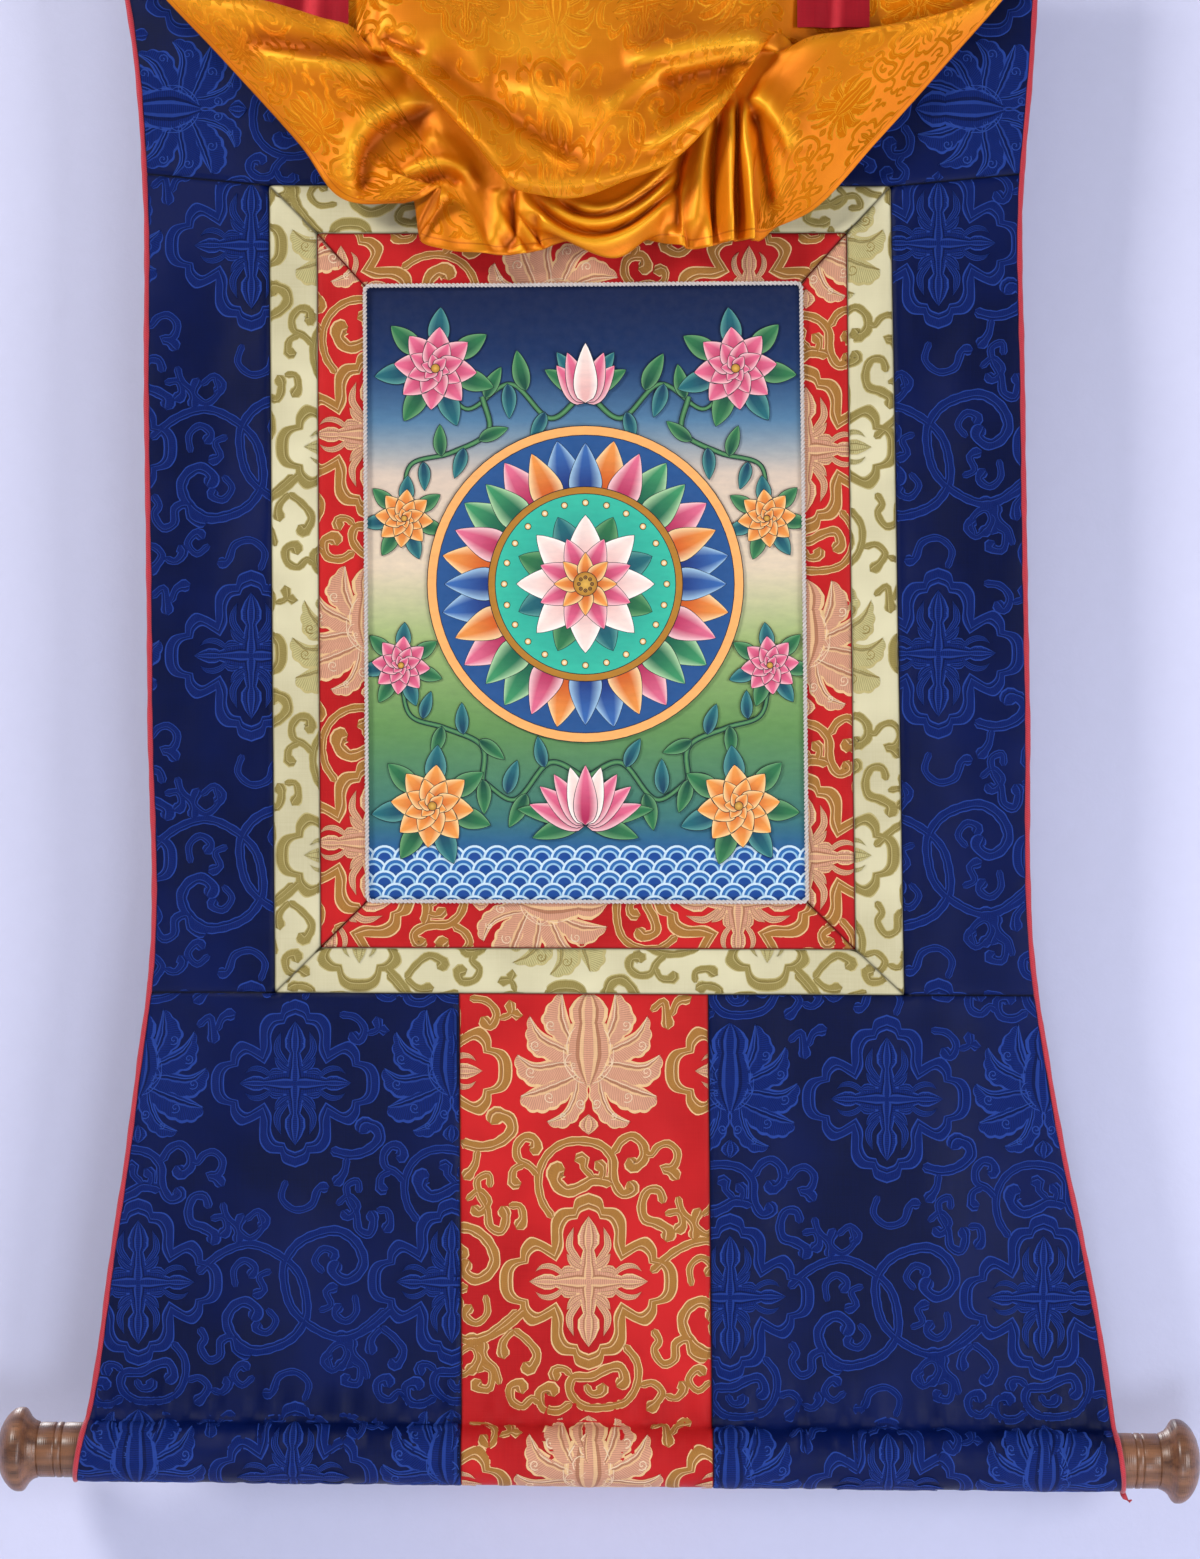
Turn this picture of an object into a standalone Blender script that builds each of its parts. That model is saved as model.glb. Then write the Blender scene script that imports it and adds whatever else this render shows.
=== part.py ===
"""Thangka scroll painting, hung flat: brocade panels round a painted sheet, a wooden roller in a
sewn casing at the foot, and a gathered silk cover with two ribbons at the head.

Sizes are in millimetres and are turned into metres when a mesh is made. X runs to the right, the
front faces -Y and +Z is up. The origin is the middle of the top edge, in the cloth's mid-plane.
In the tables, drop is the distance below the top edge and ahead the distance towards the front."""

import math

import bpy
from mathutils import Vector

MM = 0.001

# Places that were read by eye off the photograph are kept in its pixels, across and down. A pixel
# is PHOTO_MM wide, x is 0 at pixel PHOTO_MIDDLE and the top edge is at pixel PHOTO_TOP. What lies
# ahead of the cloth looks larger in the photograph, away from the place that the camera faces.
PHOTO_MM = 0.64
PHOTO_MIDDLE, PHOTO_TOP = 587, -85
CAMERA_DISTANCE = 2000.0
CAMERA_X, CAMERA_DROP = 8.3, 553.3


def from_photo(across, down, ahead):
    """The x and drop, to the nearest millimetre, of what is seen at a pixel and lies that far ahead."""
    nearer = 1 - ahead / CAMERA_DISTANCE
    x = CAMERA_X + ((across - PHOTO_MIDDLE) * PHOTO_MM - CAMERA_X) * nearer
    drop = CAMERA_DROP + ((down - PHOTO_TOP) * PHOTO_MM - CAMERA_DROP) * nearer
    return round(x), round(drop)


# ---------------------------------------------------------------- driving sizes
GAP = 0.3
PANEL_THICK = 1.6
PAINTING_THICK = 1.2
SILK_THICK = 1.0

# The bound side edges, a row for each bend: drop, left x, right x.
EDGE_ROWS = (
    (0, -302, 288),
    (93, -287, 283),
    (182, -281, 276),
    (310, -280, 277),
    (502, -278, 280),
    (685, -278, 285),
    (730, -284, 292),
    (792, -292, 303),
    (858, -302, 317),
    (918, -310, 328),
    (1010, -327, 341),
)

# Corners of the nested frames: left top, right top, right bottom, left bottom, as x, drop.
OUTER_FRAME = ((-203.5, 172.8), (194.2, 173.4), (202.9, 690.9), (-199.7, 689.3))
MIDDLE_FRAME = ((-172.8, 203.5), (166.1, 203.2), (171.8, 661.8), (-170.6, 660.5))
INNER_FRAME = ((-142.1, 237.4), (137.0, 235.5), (140.8, 631.4), (-140.5, 630.7))
TOP_SEAM_AT_EDGE = 165.5
DOOR_TOP, DOOR_FOOT = 690.0, 1005.0
DOOR_TOP_X = (-81.9, 77.4)
DOOR_FOOT_X = (-80.0, 80.3)

# Soft bulges of the hung body: x, drop, half width, half height, ahead.
BODY_BULGES = (
    (-235, 850, 40, 110, 4.0),
    (-150, 880, 34, 90, -2.5),
    (-110, 780, 30, 80, 1.5),
    (230, 860, 42, 110, 4.5),
    (145, 890, 34, 90, -2.5),
    (0, 830, 50, 90, 1.5),
    (-255, 420, 22, 150, 1.5),
    (255, 480, 22, 150, 1.5),
)
EDGE_CURL = 2.5
EDGE_CURL_WIDTH = 22.0
FLAT_BELOW_TOP = 190.0
FLAT_ABOVE_CASING = 60.0

ROD_RADIUS = 17.5
ROD_AXIS_DROP = 985.4
ROD_TILT = 0.01056
ROD_ENDS = (-318.0, 333.0)
CASING_RADIUS = ROD_RADIUS + GAP + PANEL_THICK / 2
CASING_BEND = 27.0
FLAP_END = 24.0
FLAP_BEHIND = PANEL_THICK + 2 * GAP
CASING_STEPS = 14

# Turned end knob: distance from its seat on the rod, radius.
KNOB_PROFILE = (
    (0.0, 17.4),
    (15.6, 17.4),
    (16.3, 16.8),
    (17.0, 17.4),
    (20.2, 17.4),
    (20.9, 16.8),
    (21.6, 17.4),
    (31.0, 17.5),
    (31.7, 16.9),
    (32.4, 17.7),
    (36.0, 19.2),
    (39.0, 22.2),
    (41.2, 25.8),
    (42.4, 26.5),
    (45.5, 26.5),
    (50.0, 24.2),
    (54.0, 19.4),
    (57.0, 11.5),
)
KNOB_LENGTH = 58.0
ROD_SIDES = 24

BINDING_HALF_WIDTH = 1.6
BINDING_HALF_DEPTH = 1.4
BINDING_PROUD = 0.5
CORD_RADIUS = 1.5
CORD_CORNER = 4.0

# Silk cover: the ends of its top edge, how far ahead that edge lies, and its drop.
COVER_TOP_X = (-280.0, 276.0)
COVER_TOP_AHEAD = PANEL_THICK / 2 + GAP + SILK_THICK / 2
COVER_HEM_TOP = 1.0
COVER_BOW = 0.14

# The cover's two turns as seen in the photograph, a row for each section across it, from 0 at the
# left hem to 1 at the right: share, the low turn's pixel, the high turn's pixel, then how far ahead
# lie the layer above the low turn, the layer below the high turn, and the layer between them at its
# low and at its high end.
# The wings fold towards the front over the ribbons, the middle folds towards the back, and at a
# gather there is one layer.
SEEN_TURNS = (
    (0.000, 150, -42, 153, -22, 2, 8, 4, 5),
    (0.070, 203, 18, 205, -5, 5, 19, 11, 13),
    (0.140, 265, 68, 262, 0, 5, 22, 14, 15),
    (0.200, 321, 85, 321, 17, 5, 22, 14, 15),
    (0.240, 354, 68, 354, 28, 5, 22, 14, 15),
    (0.262, 368, 32, 368, 46, 10, 17, 12, 14),
    (0.280, 377, 34, 377, 50, 17, 13, 15.5, 15),
    (0.300, 392, 56, 394, 52, 21, 12, 17.5, 16),
    (0.335, 429, 93, 430, 60, 27, 12, 23, 18),
    (0.370, 471, 139, 470, 80, 32, 12, 27, 19),
    (0.410, 509, 183, 512, 98, 36, 12, 31, 20),
    (0.450, 539, 194, 545, 108, 38, 12, 33, 21),
    (0.500, 575, 196, 580, 112, 39, 12, 34, 21),
    (0.560, 623, 181, 625, 108, 39, 12, 34, 21),
    (0.620, 678, 156, 670, 94, 37, 12, 32, 20),
    (0.665, 720, 109, 712, 70, 33, 12, 28, 19),
    (0.690, 742, 76, 738, 58, 29, 12, 24, 18),
    (0.706, 758, 54, 756, 48, 24, 12, 20, 17),
    (0.724, 772, 34, 772, 50, 18, 13, 15.5, 15),
    (0.742, 783, 34, 783, 50, 10, 17, 12, 14),
    (0.762, 808, 66, 806, 38, 5, 21, 13, 14),
    (0.800, 842, 86, 842, 31, 5, 22, 14, 15),
    (0.860, 893, 73, 895, 24, 5, 22, 14, 15),
    (0.930, 957, 24, 960, 8, 5, 18, 11, 13),
    (1.000, 1016, -38, 1010, -18, 2, 8, 4, 5),
)


def turn_row(share, low_across, low_down, high_across, high_down, upper, face, below, above):
    """The same row with the x and drop of the two turns in place of their pixels."""
    low = from_photo(low_across, low_down, (upper + below) / 2)
    high = from_photo(high_across, high_down, (above + face) / 2)
    return (share, *low, *high, upper, face, below, above)


TURN_ROWS = [turn_row(*row) for row in SEEN_TURNS]
FULL_FOLD = 20.0
LEAST_BEND = 2.0
NORMAL_SOFTENINGS = 2
TURN_PROBE = 0.004

# The cover's lowest layer, from the high turn to the hem, as seen in the photograph: share, then the
# pixel of its upper, middle and lower points and of the hem, each with how far ahead it lies.
SEEN_FACE = (
    (0.00, 219, 55, 10, 300, 145, 15, 342, 199, 20, 404, 203, 17),
    (0.05, 252, 60, 17, 313, 124, 23, 365, 182, 23, 424, 197, 26),
    (0.09, 285, 63, 24, 335, 115, 27, 384, 167, 24, 441, 188, 28),
    (0.12, 308, 62, 27, 352, 116, 26, 399, 172, 19, 437, 209, 22),
    (0.16, 336, 63, 28, 375, 120, 24, 411, 180, 14, 420, 239, 15),
    (0.20, 366, 74, 24, 402, 126, 16, 432, 184, 15, 448, 250, 18),
    (0.27, 396, 90, 14, 434, 145, 13, 472, 195, 15, 504, 255, 16),
    (0.34, 452, 112, 11, 478, 150, 11, 505, 200, 13, 536, 250, 13),
    (0.42, 520, 138, 11, 525, 172, 13, 535, 222, 19, 562, 242, 9),
    (0.50, 590, 150, 11, 592, 205, 20, 610, 256, 20, 600, 238, 6),
    (0.57, 652, 138, 11, 655, 175, 16, 648, 236, 17, 650, 240, 8),
    (0.62, 690, 124, 11, 690, 162, 13, 684, 206, 14, 686, 248, 15),
    (0.70, 742, 92, 12, 734, 142, 15, 728, 192, 17, 728, 242, 18),
    (0.76, 782, 80, 18, 762, 137, 18, 752, 190, 17, 752, 240, 17),
    (0.84, 838, 75, 25, 794, 130, 25, 770, 190, 20, 758, 240, 15),
    (0.92, 908, 60, 21, 848, 125, 22, 798, 186, 20, 765, 236, 13),
    (1.00, 946, 63, 10, 876, 141, 15, 813, 209, 16, 772, 228, 11),
)


def face_row(share, *places):
    """The same row with x and drop in place of each pixel."""
    row = [share]
    for across, down, ahead in zip(places[0::3], places[1::3], places[2::3]):
        row += [*from_photo(across, down, ahead), ahead]
    return row


FACE_ROWS = [face_row(*row) for row in SEEN_FACE]

# Soft ridges and troughs as seen in the photograph, each along a curve from its start to its end,
# drawn towards a middle place: the layer it lies in, the pixels of the three places, its half width
# in pixels, how far it stands ahead of its layer, and how far ahead that layer lies there.
SEEN_CREASES = (
    ("upper", 733, 54, 700, 66, 645, 118, 16, -5, 30),
    ("upper", 752, 40, 700, 40, 640, 56, 16, 3, 25),
    ("upper", 738, 78, 700, 125, 640, 158, 15, 4, 34),
    ("upper", 430, 45, 500, 120, 570, 160, 20, -4, 28),
    ("upper", 385, 48, 450, 108, 503, 172, 12, 3, 30),
    ("face", 275, 50, 341, 61, 400, 60, 12, -5, 24),
    ("face", 280, 72, 341, 80, 405, 76, 12, 3, 24),
    ("face", 416, 102, 385, 118, 346, 152, 14, -5, 20),
    ("face", 415, 84, 360, 114, 330, 158, 15, 4, 26),
    ("face", 745, 100, 764, 150, 768, 225, 12, -6, 16),
    ("face", 772, 62, 795, 100, 812, 150, 16, 3, 24),
    ("face", 507, 190, 512, 220, 508, 252, 9, -4, 14),
    ("face", 517, 195, 584, 304, 653, 187, 10.2, 4, 20),
    ("face", 540, 197, 590, 272, 644, 184, 8.6, -4, 20),
    ("face", 558, 206, 600, 247, 640, 190, 8.6, 3, 20),
)


def crease_row(layer, *seen):
    """The layer, the x and drop of the three places in turn, the half width and how far ahead."""
    half_width, ahead, lies = seen[6:]
    row = [layer]
    for across, down in zip(seen[0:6:2], seen[1:6:2]):
        row += from_photo(across, down, lies)
    return (*row, round(half_width * PHOTO_MM, 1), ahead)


CREASE_ROWS = [crease_row(*row) for row in SEEN_CREASES]

# Pleats of that layer: share of their middle, half width, sideways, ahead, rise above the hem.
PLEAT_ROWS = (
    (0.235, 0.030, 4, 5, 50),
    (0.300, 0.022, 3, 5, 40),
    (0.345, 0.020, 2, 4, 30),
    (0.605, 0.018, 4, 6, 50),
    (0.650, 0.018, 4, 7, 75),
    (0.693, 0.018, 4, 8, 90),
    (0.738, 0.020, 5, 9, 95),
)

# The cover's columns of points, closer at the gathers: share where a stretch ends, its columns.
COVER_SPREAD = ((0.09, 5), (0.14, 6), (0.24, 6), (0.29, 8), (0.69, 24), (0.76, 8), (1.0, 13))

# Ribbons: left x, right x, foot drop.
RIBBON_LEFT = (-206, -152, 76)
RIBBON_RIGHT = (134, 180, 74)
RIBBON_TOP_AHEAD = COVER_TOP_AHEAD + GAP + SILK_THICK
RIBBON_FOOT_AHEAD = 10.0

RIBBON_RIPPLE = 0.5

# How finely the pieces are divided: columns, then rows, or steps along a line.
TOP_COLUMNS = (3, 10, 3)
TOP_ROWS = 6
SIDE_COLUMNS, SIDE_ROWS = 3, 16
FOOT_COLUMNS, FOOT_ROWS = 9, 9
DOOR_COLUMNS = 5
FRAME_COLUMNS, FRAME_ROWS = 14, 1
PAINTING_COLUMNS, PAINTING_ROWS = 8, 12
RIBBON_COLUMNS, RIBBON_ROWS = 6, 8
CORD_STRAIGHT_STEPS, CORD_CORNER_STEPS = 11, 4
CORD_SIDES = 6
BINDING_SIDES = 8
SHARP_ANGLE = math.radians(40)

# ---------------------------------------------------------------- colours
# A row for each finish: colour, roughness, metallic value.
FINISHES = {
    "navy_brocade": ((0.008, 0.012, 0.090), 0.55, 0.0),
    "yellow_brocade": ((0.790, 0.720, 0.370), 0.50, 0.0),
    "red_brocade": ((0.680, 0.030, 0.018), 0.50, 0.0),
    "painted_cloth": ((0.110, 0.300, 0.330), 0.75, 0.0),
    "white_cord": ((0.620, 0.550, 0.520), 0.70, 0.0),
    "red_binding": ((0.560, 0.012, 0.035), 0.60, 0.0),
    "turned_wood": ((0.170, 0.080, 0.036), 0.38, 0.0),
    "gold_silk": ((0.800, 0.270, 0.010), 0.35, 0.0),
    "crimson_silk": ((0.470, 0.010, 0.025), 0.38, 0.0),
}


# ---------------------------------------------------------------- curves through named rows
def tangent(before, here, after, t_before, t_here, t_after):
    """The slope of a smooth curve at its middle point, for uneven steps."""
    rise_in = (here - before) / (t_here - t_before)
    rise_out = (after - here) / (t_after - t_here)
    span = t_after - t_before
    return (rise_in * (t_after - t_here) + rise_out * (t_here - t_before)) / span


def curve_value(knots, values, t):
    """A smooth curve through the values at the knots, read at t."""
    last = len(knots) - 1
    k = 0
    while k < last - 1 and t > knots[k + 1]:
        k += 1
    t0, t1 = knots[k], knots[k + 1]
    p0, p1 = values[k], values[k + 1]
    m0 = (p1 - p0) / (t1 - t0)
    m1 = m0
    if k > 0:
        m0 = tangent(values[k - 1], p0, p1, knots[k - 1], t0, t1)
    if k < last - 1:
        m1 = tangent(p0, p1, values[k + 2], t0, t1, knots[k + 2])
    s = (t - t0) / (t1 - t0)
    h = t1 - t0
    start = p0 * (2 * s**3 - 3 * s**2 + 1) + m0 * (h * (s**3 - 2 * s**2 + s))
    return start + p1 * (3 * s**2 - 2 * s**3) + m1 * (h * (s**3 - s**2))


def read_rows(rows, t):
    """The other columns of a table at a value t of its first column."""
    knots = [row[0] for row in rows]
    width = len(rows[0])
    return [curve_value(knots, [row[c] for row in rows], t) for c in range(1, width)]


def smooth_step(t):
    t = min(1.0, max(0.0, t))
    return t * t * (3 - 2 * t)


def mix(a, b, t):
    return a + (b - a) * t


# ---------------------------------------------------------------- meshes and materials
def finish(name):
    """The material of one finish, made on first use."""
    made = bpy.data.materials.get(name)
    if made:
        return made
    colour, roughness, metallic = FINISHES[name]
    made = bpy.data.materials.new(name)
    made.use_nodes = True
    shader = made.node_tree.nodes["Principled BSDF"]
    shader.inputs["Base Color"].default_value = (*colour, 1.0)
    shader.inputs["Roughness"].default_value = roughness
    shader.inputs["Metallic"].default_value = metallic
    return made


def add_piece(name, points, faces, material):
    mesh = bpy.data.meshes.new(name)
    mesh.from_pydata([tuple(p * MM) for p in points], [], faces)
    mesh.materials.append(finish(material))
    mesh.shade_smooth()
    mesh.set_sharp_from_angle(angle=SHARP_ANGLE)
    piece = bpy.data.objects.new(name, mesh)
    bpy.context.scene.collection.objects.link(piece)
    return piece


def grid_normals(grid):
    """Unit normals of a grid of points, towards the front where the grid faces it."""
    rows, columns = len(grid), len(grid[0])
    normals = []
    for j in range(rows):
        line = []
        for i in range(columns):
            across = grid[j][min(i + 1, columns - 1)] - grid[j][max(i - 1, 0)]
            down = grid[min(j + 1, rows - 1)][i] - grid[max(j - 1, 0)][i]
            line.append(down.cross(across).normalized())
        normals.append(line)
    return normals


def softened(normals):
    """The same normals, each evened out with its neighbours."""
    rows, columns = len(normals), len(normals[0])
    soft = []
    for j in range(rows):
        line = []
        for i in range(columns):
            total = normals[j][i] * 2
            total += normals[max(j - 1, 0)][i] + normals[min(j + 1, rows - 1)][i]
            total += normals[j][max(i - 1, 0)] + normals[j][min(i + 1, columns - 1)]
            line.append(total.normalized())
        soft.append(line)
    return soft


def sheet(name, grid, thick, material, softenings=0):
    """A closed sheet of even thickness round a grid that runs left to right, top to bottom."""
    rows, columns = len(grid), len(grid[0])
    normals = grid_normals(grid)
    for _ in range(softenings):
        normals = softened(normals)
    front = [grid[j][i] + normals[j][i] * (thick / 2) for j in range(rows) for i in range(columns)]
    back = [grid[j][i] - normals[j][i] * (thick / 2) for j in range(rows) for i in range(columns)]
    count = rows * columns
    faces = []
    for j in range(rows - 1):
        for i in range(columns - 1):
            a = j * columns + i
            b = a + 1
            c = a + columns + 1
            d = a + columns
            faces.append((a, d, c, b))
            faces.append((count + a, count + b, count + c, count + d))
    rim = [i for i in range(columns)]
    rim += [j * columns + columns - 1 for j in range(1, rows)]
    rim += [(rows - 1) * columns + i for i in range(columns - 2, -1, -1)]
    rim += [j * columns for j in range(rows - 2, 0, -1)]
    for k, a in enumerate(rim):
        b = rim[(k + 1) % len(rim)]
        faces.append((a, b, count + b, count + a))
    return add_piece(name, front + back, faces, material)


def tube(name, rings, closed, material):
    """A tube through rings of points. An open one is closed by a flat face at each end."""
    sides = len(rings[0])
    points = [p for ring in rings for p in ring]
    faces = []
    spans = len(rings) if closed else len(rings) - 1
    for j in range(spans):
        here = j * sides
        there = ((j + 1) % len(rings)) * sides
        for i in range(sides):
            k = (i + 1) % sides
            faces.append((here + i, here + k, there + k, there + i))
    if not closed:
        faces.append(tuple(range(sides - 1, -1, -1)))
        end = (len(rings) - 1) * sides
        faces.append(tuple(range(end, end + sides)))
    return add_piece(name, points, faces, material)


# ---------------------------------------------------------------- the hung body
def edge_x(drop):
    """The left and right cut edges of the body at a drop."""
    return read_rows(EDGE_ROWS, drop)


def rod_drop(x):
    return ROD_AXIS_DROP + ROD_TILT * x


def body_ahead(x, drop):
    """How far the body's mid-surface hangs in front of its flat plane."""
    ahead = 0.0
    for middle_x, middle_drop, half_width, half_height, height in BODY_BULGES:
        away = ((x - middle_x) / half_width) ** 2 + ((drop - middle_drop) / half_height) ** 2
        ahead += height * math.exp(-away)
    left, right = edge_x(drop)
    for inset in (x - left, right - x):
        ahead += EDGE_CURL * math.exp(-((inset / EDGE_CURL_WIDTH) ** 2))
    above_casing = rod_drop(x) - CASING_BEND - drop
    settled = smooth_step((drop - FLAT_BELOW_TOP) / FLAT_ABOVE_CASING)
    return ahead * settled * smooth_step(above_casing / FLAT_ABOVE_CASING)


def on_body(x, drop, ahead=0.0):
    return Vector((x, -body_ahead(x, drop) - ahead, -drop))


def side_of(corner_a, corner_b):
    """The x of the line through two corners, as a function of drop."""
    (xa, drop_a), (xb, drop_b) = corner_a, corner_b
    return lambda drop: mix(xa, xb, (drop - drop_a) / (drop_b - drop_a))


def level_of(corner_a, corner_b):
    """The drop of the line through two corners, as a function of x."""
    (xa, drop_a), (xb, drop_b) = corner_a, corner_b
    return lambda x: mix(drop_a, drop_b, (x - xa) / (xb - xa))


def top_seam(x):
    """The seam below the top panel, which dips to the frame's top edge."""
    left, right = OUTER_FRAME[0], OUTER_FRAME[1]
    if x < left[0]:
        return level_of((edge_x(TOP_SEAM_AT_EDGE)[0], TOP_SEAM_AT_EDGE), left)(x)
    if x > right[0]:
        return level_of(right, (edge_x(TOP_SEAM_AT_EDGE)[1], TOP_SEAM_AT_EDGE))(x)
    return level_of(left, right)(x)


LOW_SEAM = level_of(OUTER_FRAME[3], OUTER_FRAME[2])
FRAME_LEFT = side_of(OUTER_FRAME[0], OUTER_FRAME[3])
FRAME_RIGHT = side_of(OUTER_FRAME[1], OUTER_FRAME[2])
DOOR_LEFT = side_of((DOOR_TOP_X[0], DOOR_TOP), (DOOR_FOOT_X[0], DOOR_FOOT))
DOOR_RIGHT = side_of((DOOR_TOP_X[1], DOOR_TOP), (DOOR_FOOT_X[1], DOOR_FOOT))


def panel_grid(lines, counts, top, bottom, rows):
    """Points of a panel between upright lines (x as functions of drop) and two levels (drop as
    functions of x), half a gap inside them all round."""
    grid = []
    for j in range(rows + 1):
        t = j / rows
        line = []
        for span, count in enumerate(counts):
            for i in range(count + (span == len(counts) - 1)):
                inset_left = GAP / 2 if span == 0 and i == 0 else 0.0
                inset_right = GAP / 2 if i == count else 0.0
                x = lines[span](mix(top(0), bottom(0), t))
                drop = x
                for _ in range(3):
                    drop = mix(top(x) + GAP / 2, bottom(x) - GAP / 2, t)
                    x = mix(lines[span](drop), lines[span + 1](drop), i / count)
                    x += inset_left - inset_right
                line.append(on_body(x, drop))
        grid.append(line)
    return grid


def left_edge(drop):
    return edge_x(drop)[0]


def right_edge(drop):
    return edge_x(drop)[1]


def casing_path():
    """Depth behind the body's plane and height above the rod's axis, from the bend in front, round
    under the rod and up to the sewn end of the flap."""
    start = math.acos(CASING_RADIUS / CASING_BEND)
    reach = math.hypot(FLAP_BEHIND, FLAP_END)
    end = math.atan2(FLAP_BEHIND, FLAP_END) + math.acos(CASING_RADIUS / reach)
    sweep = 2 * math.pi - start - end
    path = []
    for k in range(CASING_STEPS + 1):
        turn = start + sweep * k / CASING_STEPS
        path.append((-CASING_RADIUS * math.sin(turn), CASING_RADIUS * math.cos(turn)))
    half_way = (mix(path[-1][0], FLAP_BEHIND, 0.6), mix(path[-1][1], FLAP_END, 0.6))
    return path + [half_way, (FLAP_BEHIND, FLAP_END)]


def foot_panel_grid(left, right, columns, rows):
    """A panel from the low seam down, with its casing wrapped round the rod."""
    grid = panel_grid(
        (left, right), (columns,), LOW_SEAM, lambda x: rod_drop(x) - CASING_BEND + GAP / 2, rows
    )
    for depth, height in casing_path():
        line = []
        for i in range(columns + 1):
            inset = GAP / 2 - GAP * i / columns
            x = 0.0
            for _ in range(3):
                drop = rod_drop(x) - height
                x = mix(left(drop), right(drop), i / columns) + inset
            line.append(Vector((x, depth, -drop)))
        grid.append(line)
    return grid


def build_body():
    """The navy and red panels. Returns the grids that the edge bindings follow."""
    top = panel_grid(
        (left_edge, lambda drop: OUTER_FRAME[0][0], lambda drop: OUTER_FRAME[1][0], right_edge),
        TOP_COLUMNS,
        lambda x: -GAP / 2,
        top_seam,
        TOP_ROWS,
    )
    left = panel_grid((left_edge, FRAME_LEFT), (SIDE_COLUMNS,), top_seam, LOW_SEAM, SIDE_ROWS)
    right = panel_grid((FRAME_RIGHT, right_edge), (SIDE_COLUMNS,), top_seam, LOW_SEAM, SIDE_ROWS)
    foot_left = foot_panel_grid(left_edge, DOOR_LEFT, FOOT_COLUMNS, FOOT_ROWS)
    foot_right = foot_panel_grid(DOOR_RIGHT, right_edge, FOOT_COLUMNS, FOOT_ROWS)
    door = foot_panel_grid(DOOR_LEFT, DOOR_RIGHT, DOOR_COLUMNS, FOOT_ROWS)
    sheet("top_panel", top, PANEL_THICK, "navy_brocade")
    sheet("side_strip_left", left, PANEL_THICK, "navy_brocade")
    sheet("side_strip_right", right, PANEL_THICK, "navy_brocade")
    sheet("bottom_panel_left", foot_left, PANEL_THICK, "navy_brocade")
    sheet("bottom_panel_right", foot_right, PANEL_THICK, "navy_brocade")
    sheet("door_panel", door, PANEL_THICK, "red_brocade")
    return (top, left, foot_left), (top, right, foot_right)


def inset_corners(corners, by):
    """The four corners of a strip moved inwards from all its sides."""
    lines = []
    for k in range(4):
        a = Vector(corners[k])
        b = Vector(corners[(k + 1) % 4])
        along = (b - a).normalized()
        inwards = Vector((-along.y, along.x))
        lines.append((a + inwards * by, along))
    moved = []
    for k in range(4):
        (pa, da), (pb, db) = lines[k - 1], lines[k]
        cross = da.x * db.y - da.y * db.x
        step = ((pb - pa).x * db.y - (pb - pa).y * db.x) / cross
        moved.append(pa + da * step)
    return moved


def patch_grid(corners, columns, rows):
    """Points on the body between four corners, half a gap inside them."""
    a, b, c, d = inset_corners(corners, GAP / 2)
    grid = []
    for j in range(rows + 1):
        line = []
        for i in range(columns + 1):
            left = a.lerp(d, j / rows)
            right = b.lerp(c, j / rows)
            x, drop = left.lerp(right, i / columns)
            line.append(on_body(x, drop))
        grid.append(line)
    return grid


def build_frame(name, outer, inner, material):
    """Four mitred strips between two outlines."""
    for k, side in enumerate(("top", "right", "bottom", "left")):
        nxt = (k + 1) % 4
        corners = (outer[k], outer[nxt], inner[nxt], inner[k])
        sheet(f"{name}_{side}", patch_grid(corners, FRAME_COLUMNS, FRAME_ROWS), PANEL_THICK, material)


def build_painting():
    grid = patch_grid(INNER_FRAME, PAINTING_COLUMNS, PAINTING_ROWS)
    sheet("painting", grid, PAINTING_THICK, "painted_cloth")


# ---------------------------------------------------------------- bindings and cord
def build_binding(name, grids, column, side):
    """A bound edge down the body's side and round the casing's mouth. side is -1 or 1."""
    path = []
    for grid in grids:
        path += [row[column] for row in grid]
    path = path[:-3]
    merged = [path[0]]
    for point in path[1:]:
        if (point - merged[-1]).length > 1.0:
            merged.append(point)
    rings = []
    for k, point in enumerate(merged):
        along = merged[min(k + 1, len(merged) - 1)] - merged[max(k - 1, 0)]
        along.normalize()
        out = Vector((side, 0, 0))
        out = (out - along * out.dot(along)).normalized()
        face = along.cross(out)
        centre = point + out * (GAP + BINDING_HALF_WIDTH) + face * (side * BINDING_PROUD)
        ring = []
        for i in range(BINDING_SIDES):
            turn = math.tau * (i + 0.5) / BINDING_SIDES
            ring.append(
                centre
                + out * (BINDING_HALF_WIDTH * math.cos(turn))
                + face * (BINDING_HALF_DEPTH * math.sin(turn))
            )
        rings.append(ring)
    tube(name, rings, False, "red_binding")


def cord_route(straight_steps, corner_steps):
    """The middle line of the cord round the painting, as x and drop, with small round corners."""
    route = []
    for k in range(4):
        here = Vector(INNER_FRAME[k])
        before = (Vector(INNER_FRAME[k - 1]) - here).normalized()
        after = Vector(INNER_FRAME[(k + 1) % 4]) - here
        length = after.length
        after = after.normalized()
        for i in range(corner_steps):
            t = i / (corner_steps - 1)
            start = here + before * CORD_CORNER
            stop = here + after * CORD_CORNER
            route.append(start.lerp(here, t).lerp(here.lerp(stop, t), t))
        for i in range(1, straight_steps):
            route.append(here + after * mix(CORD_CORNER, length - CORD_CORNER, i / straight_steps))
    return route


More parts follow.
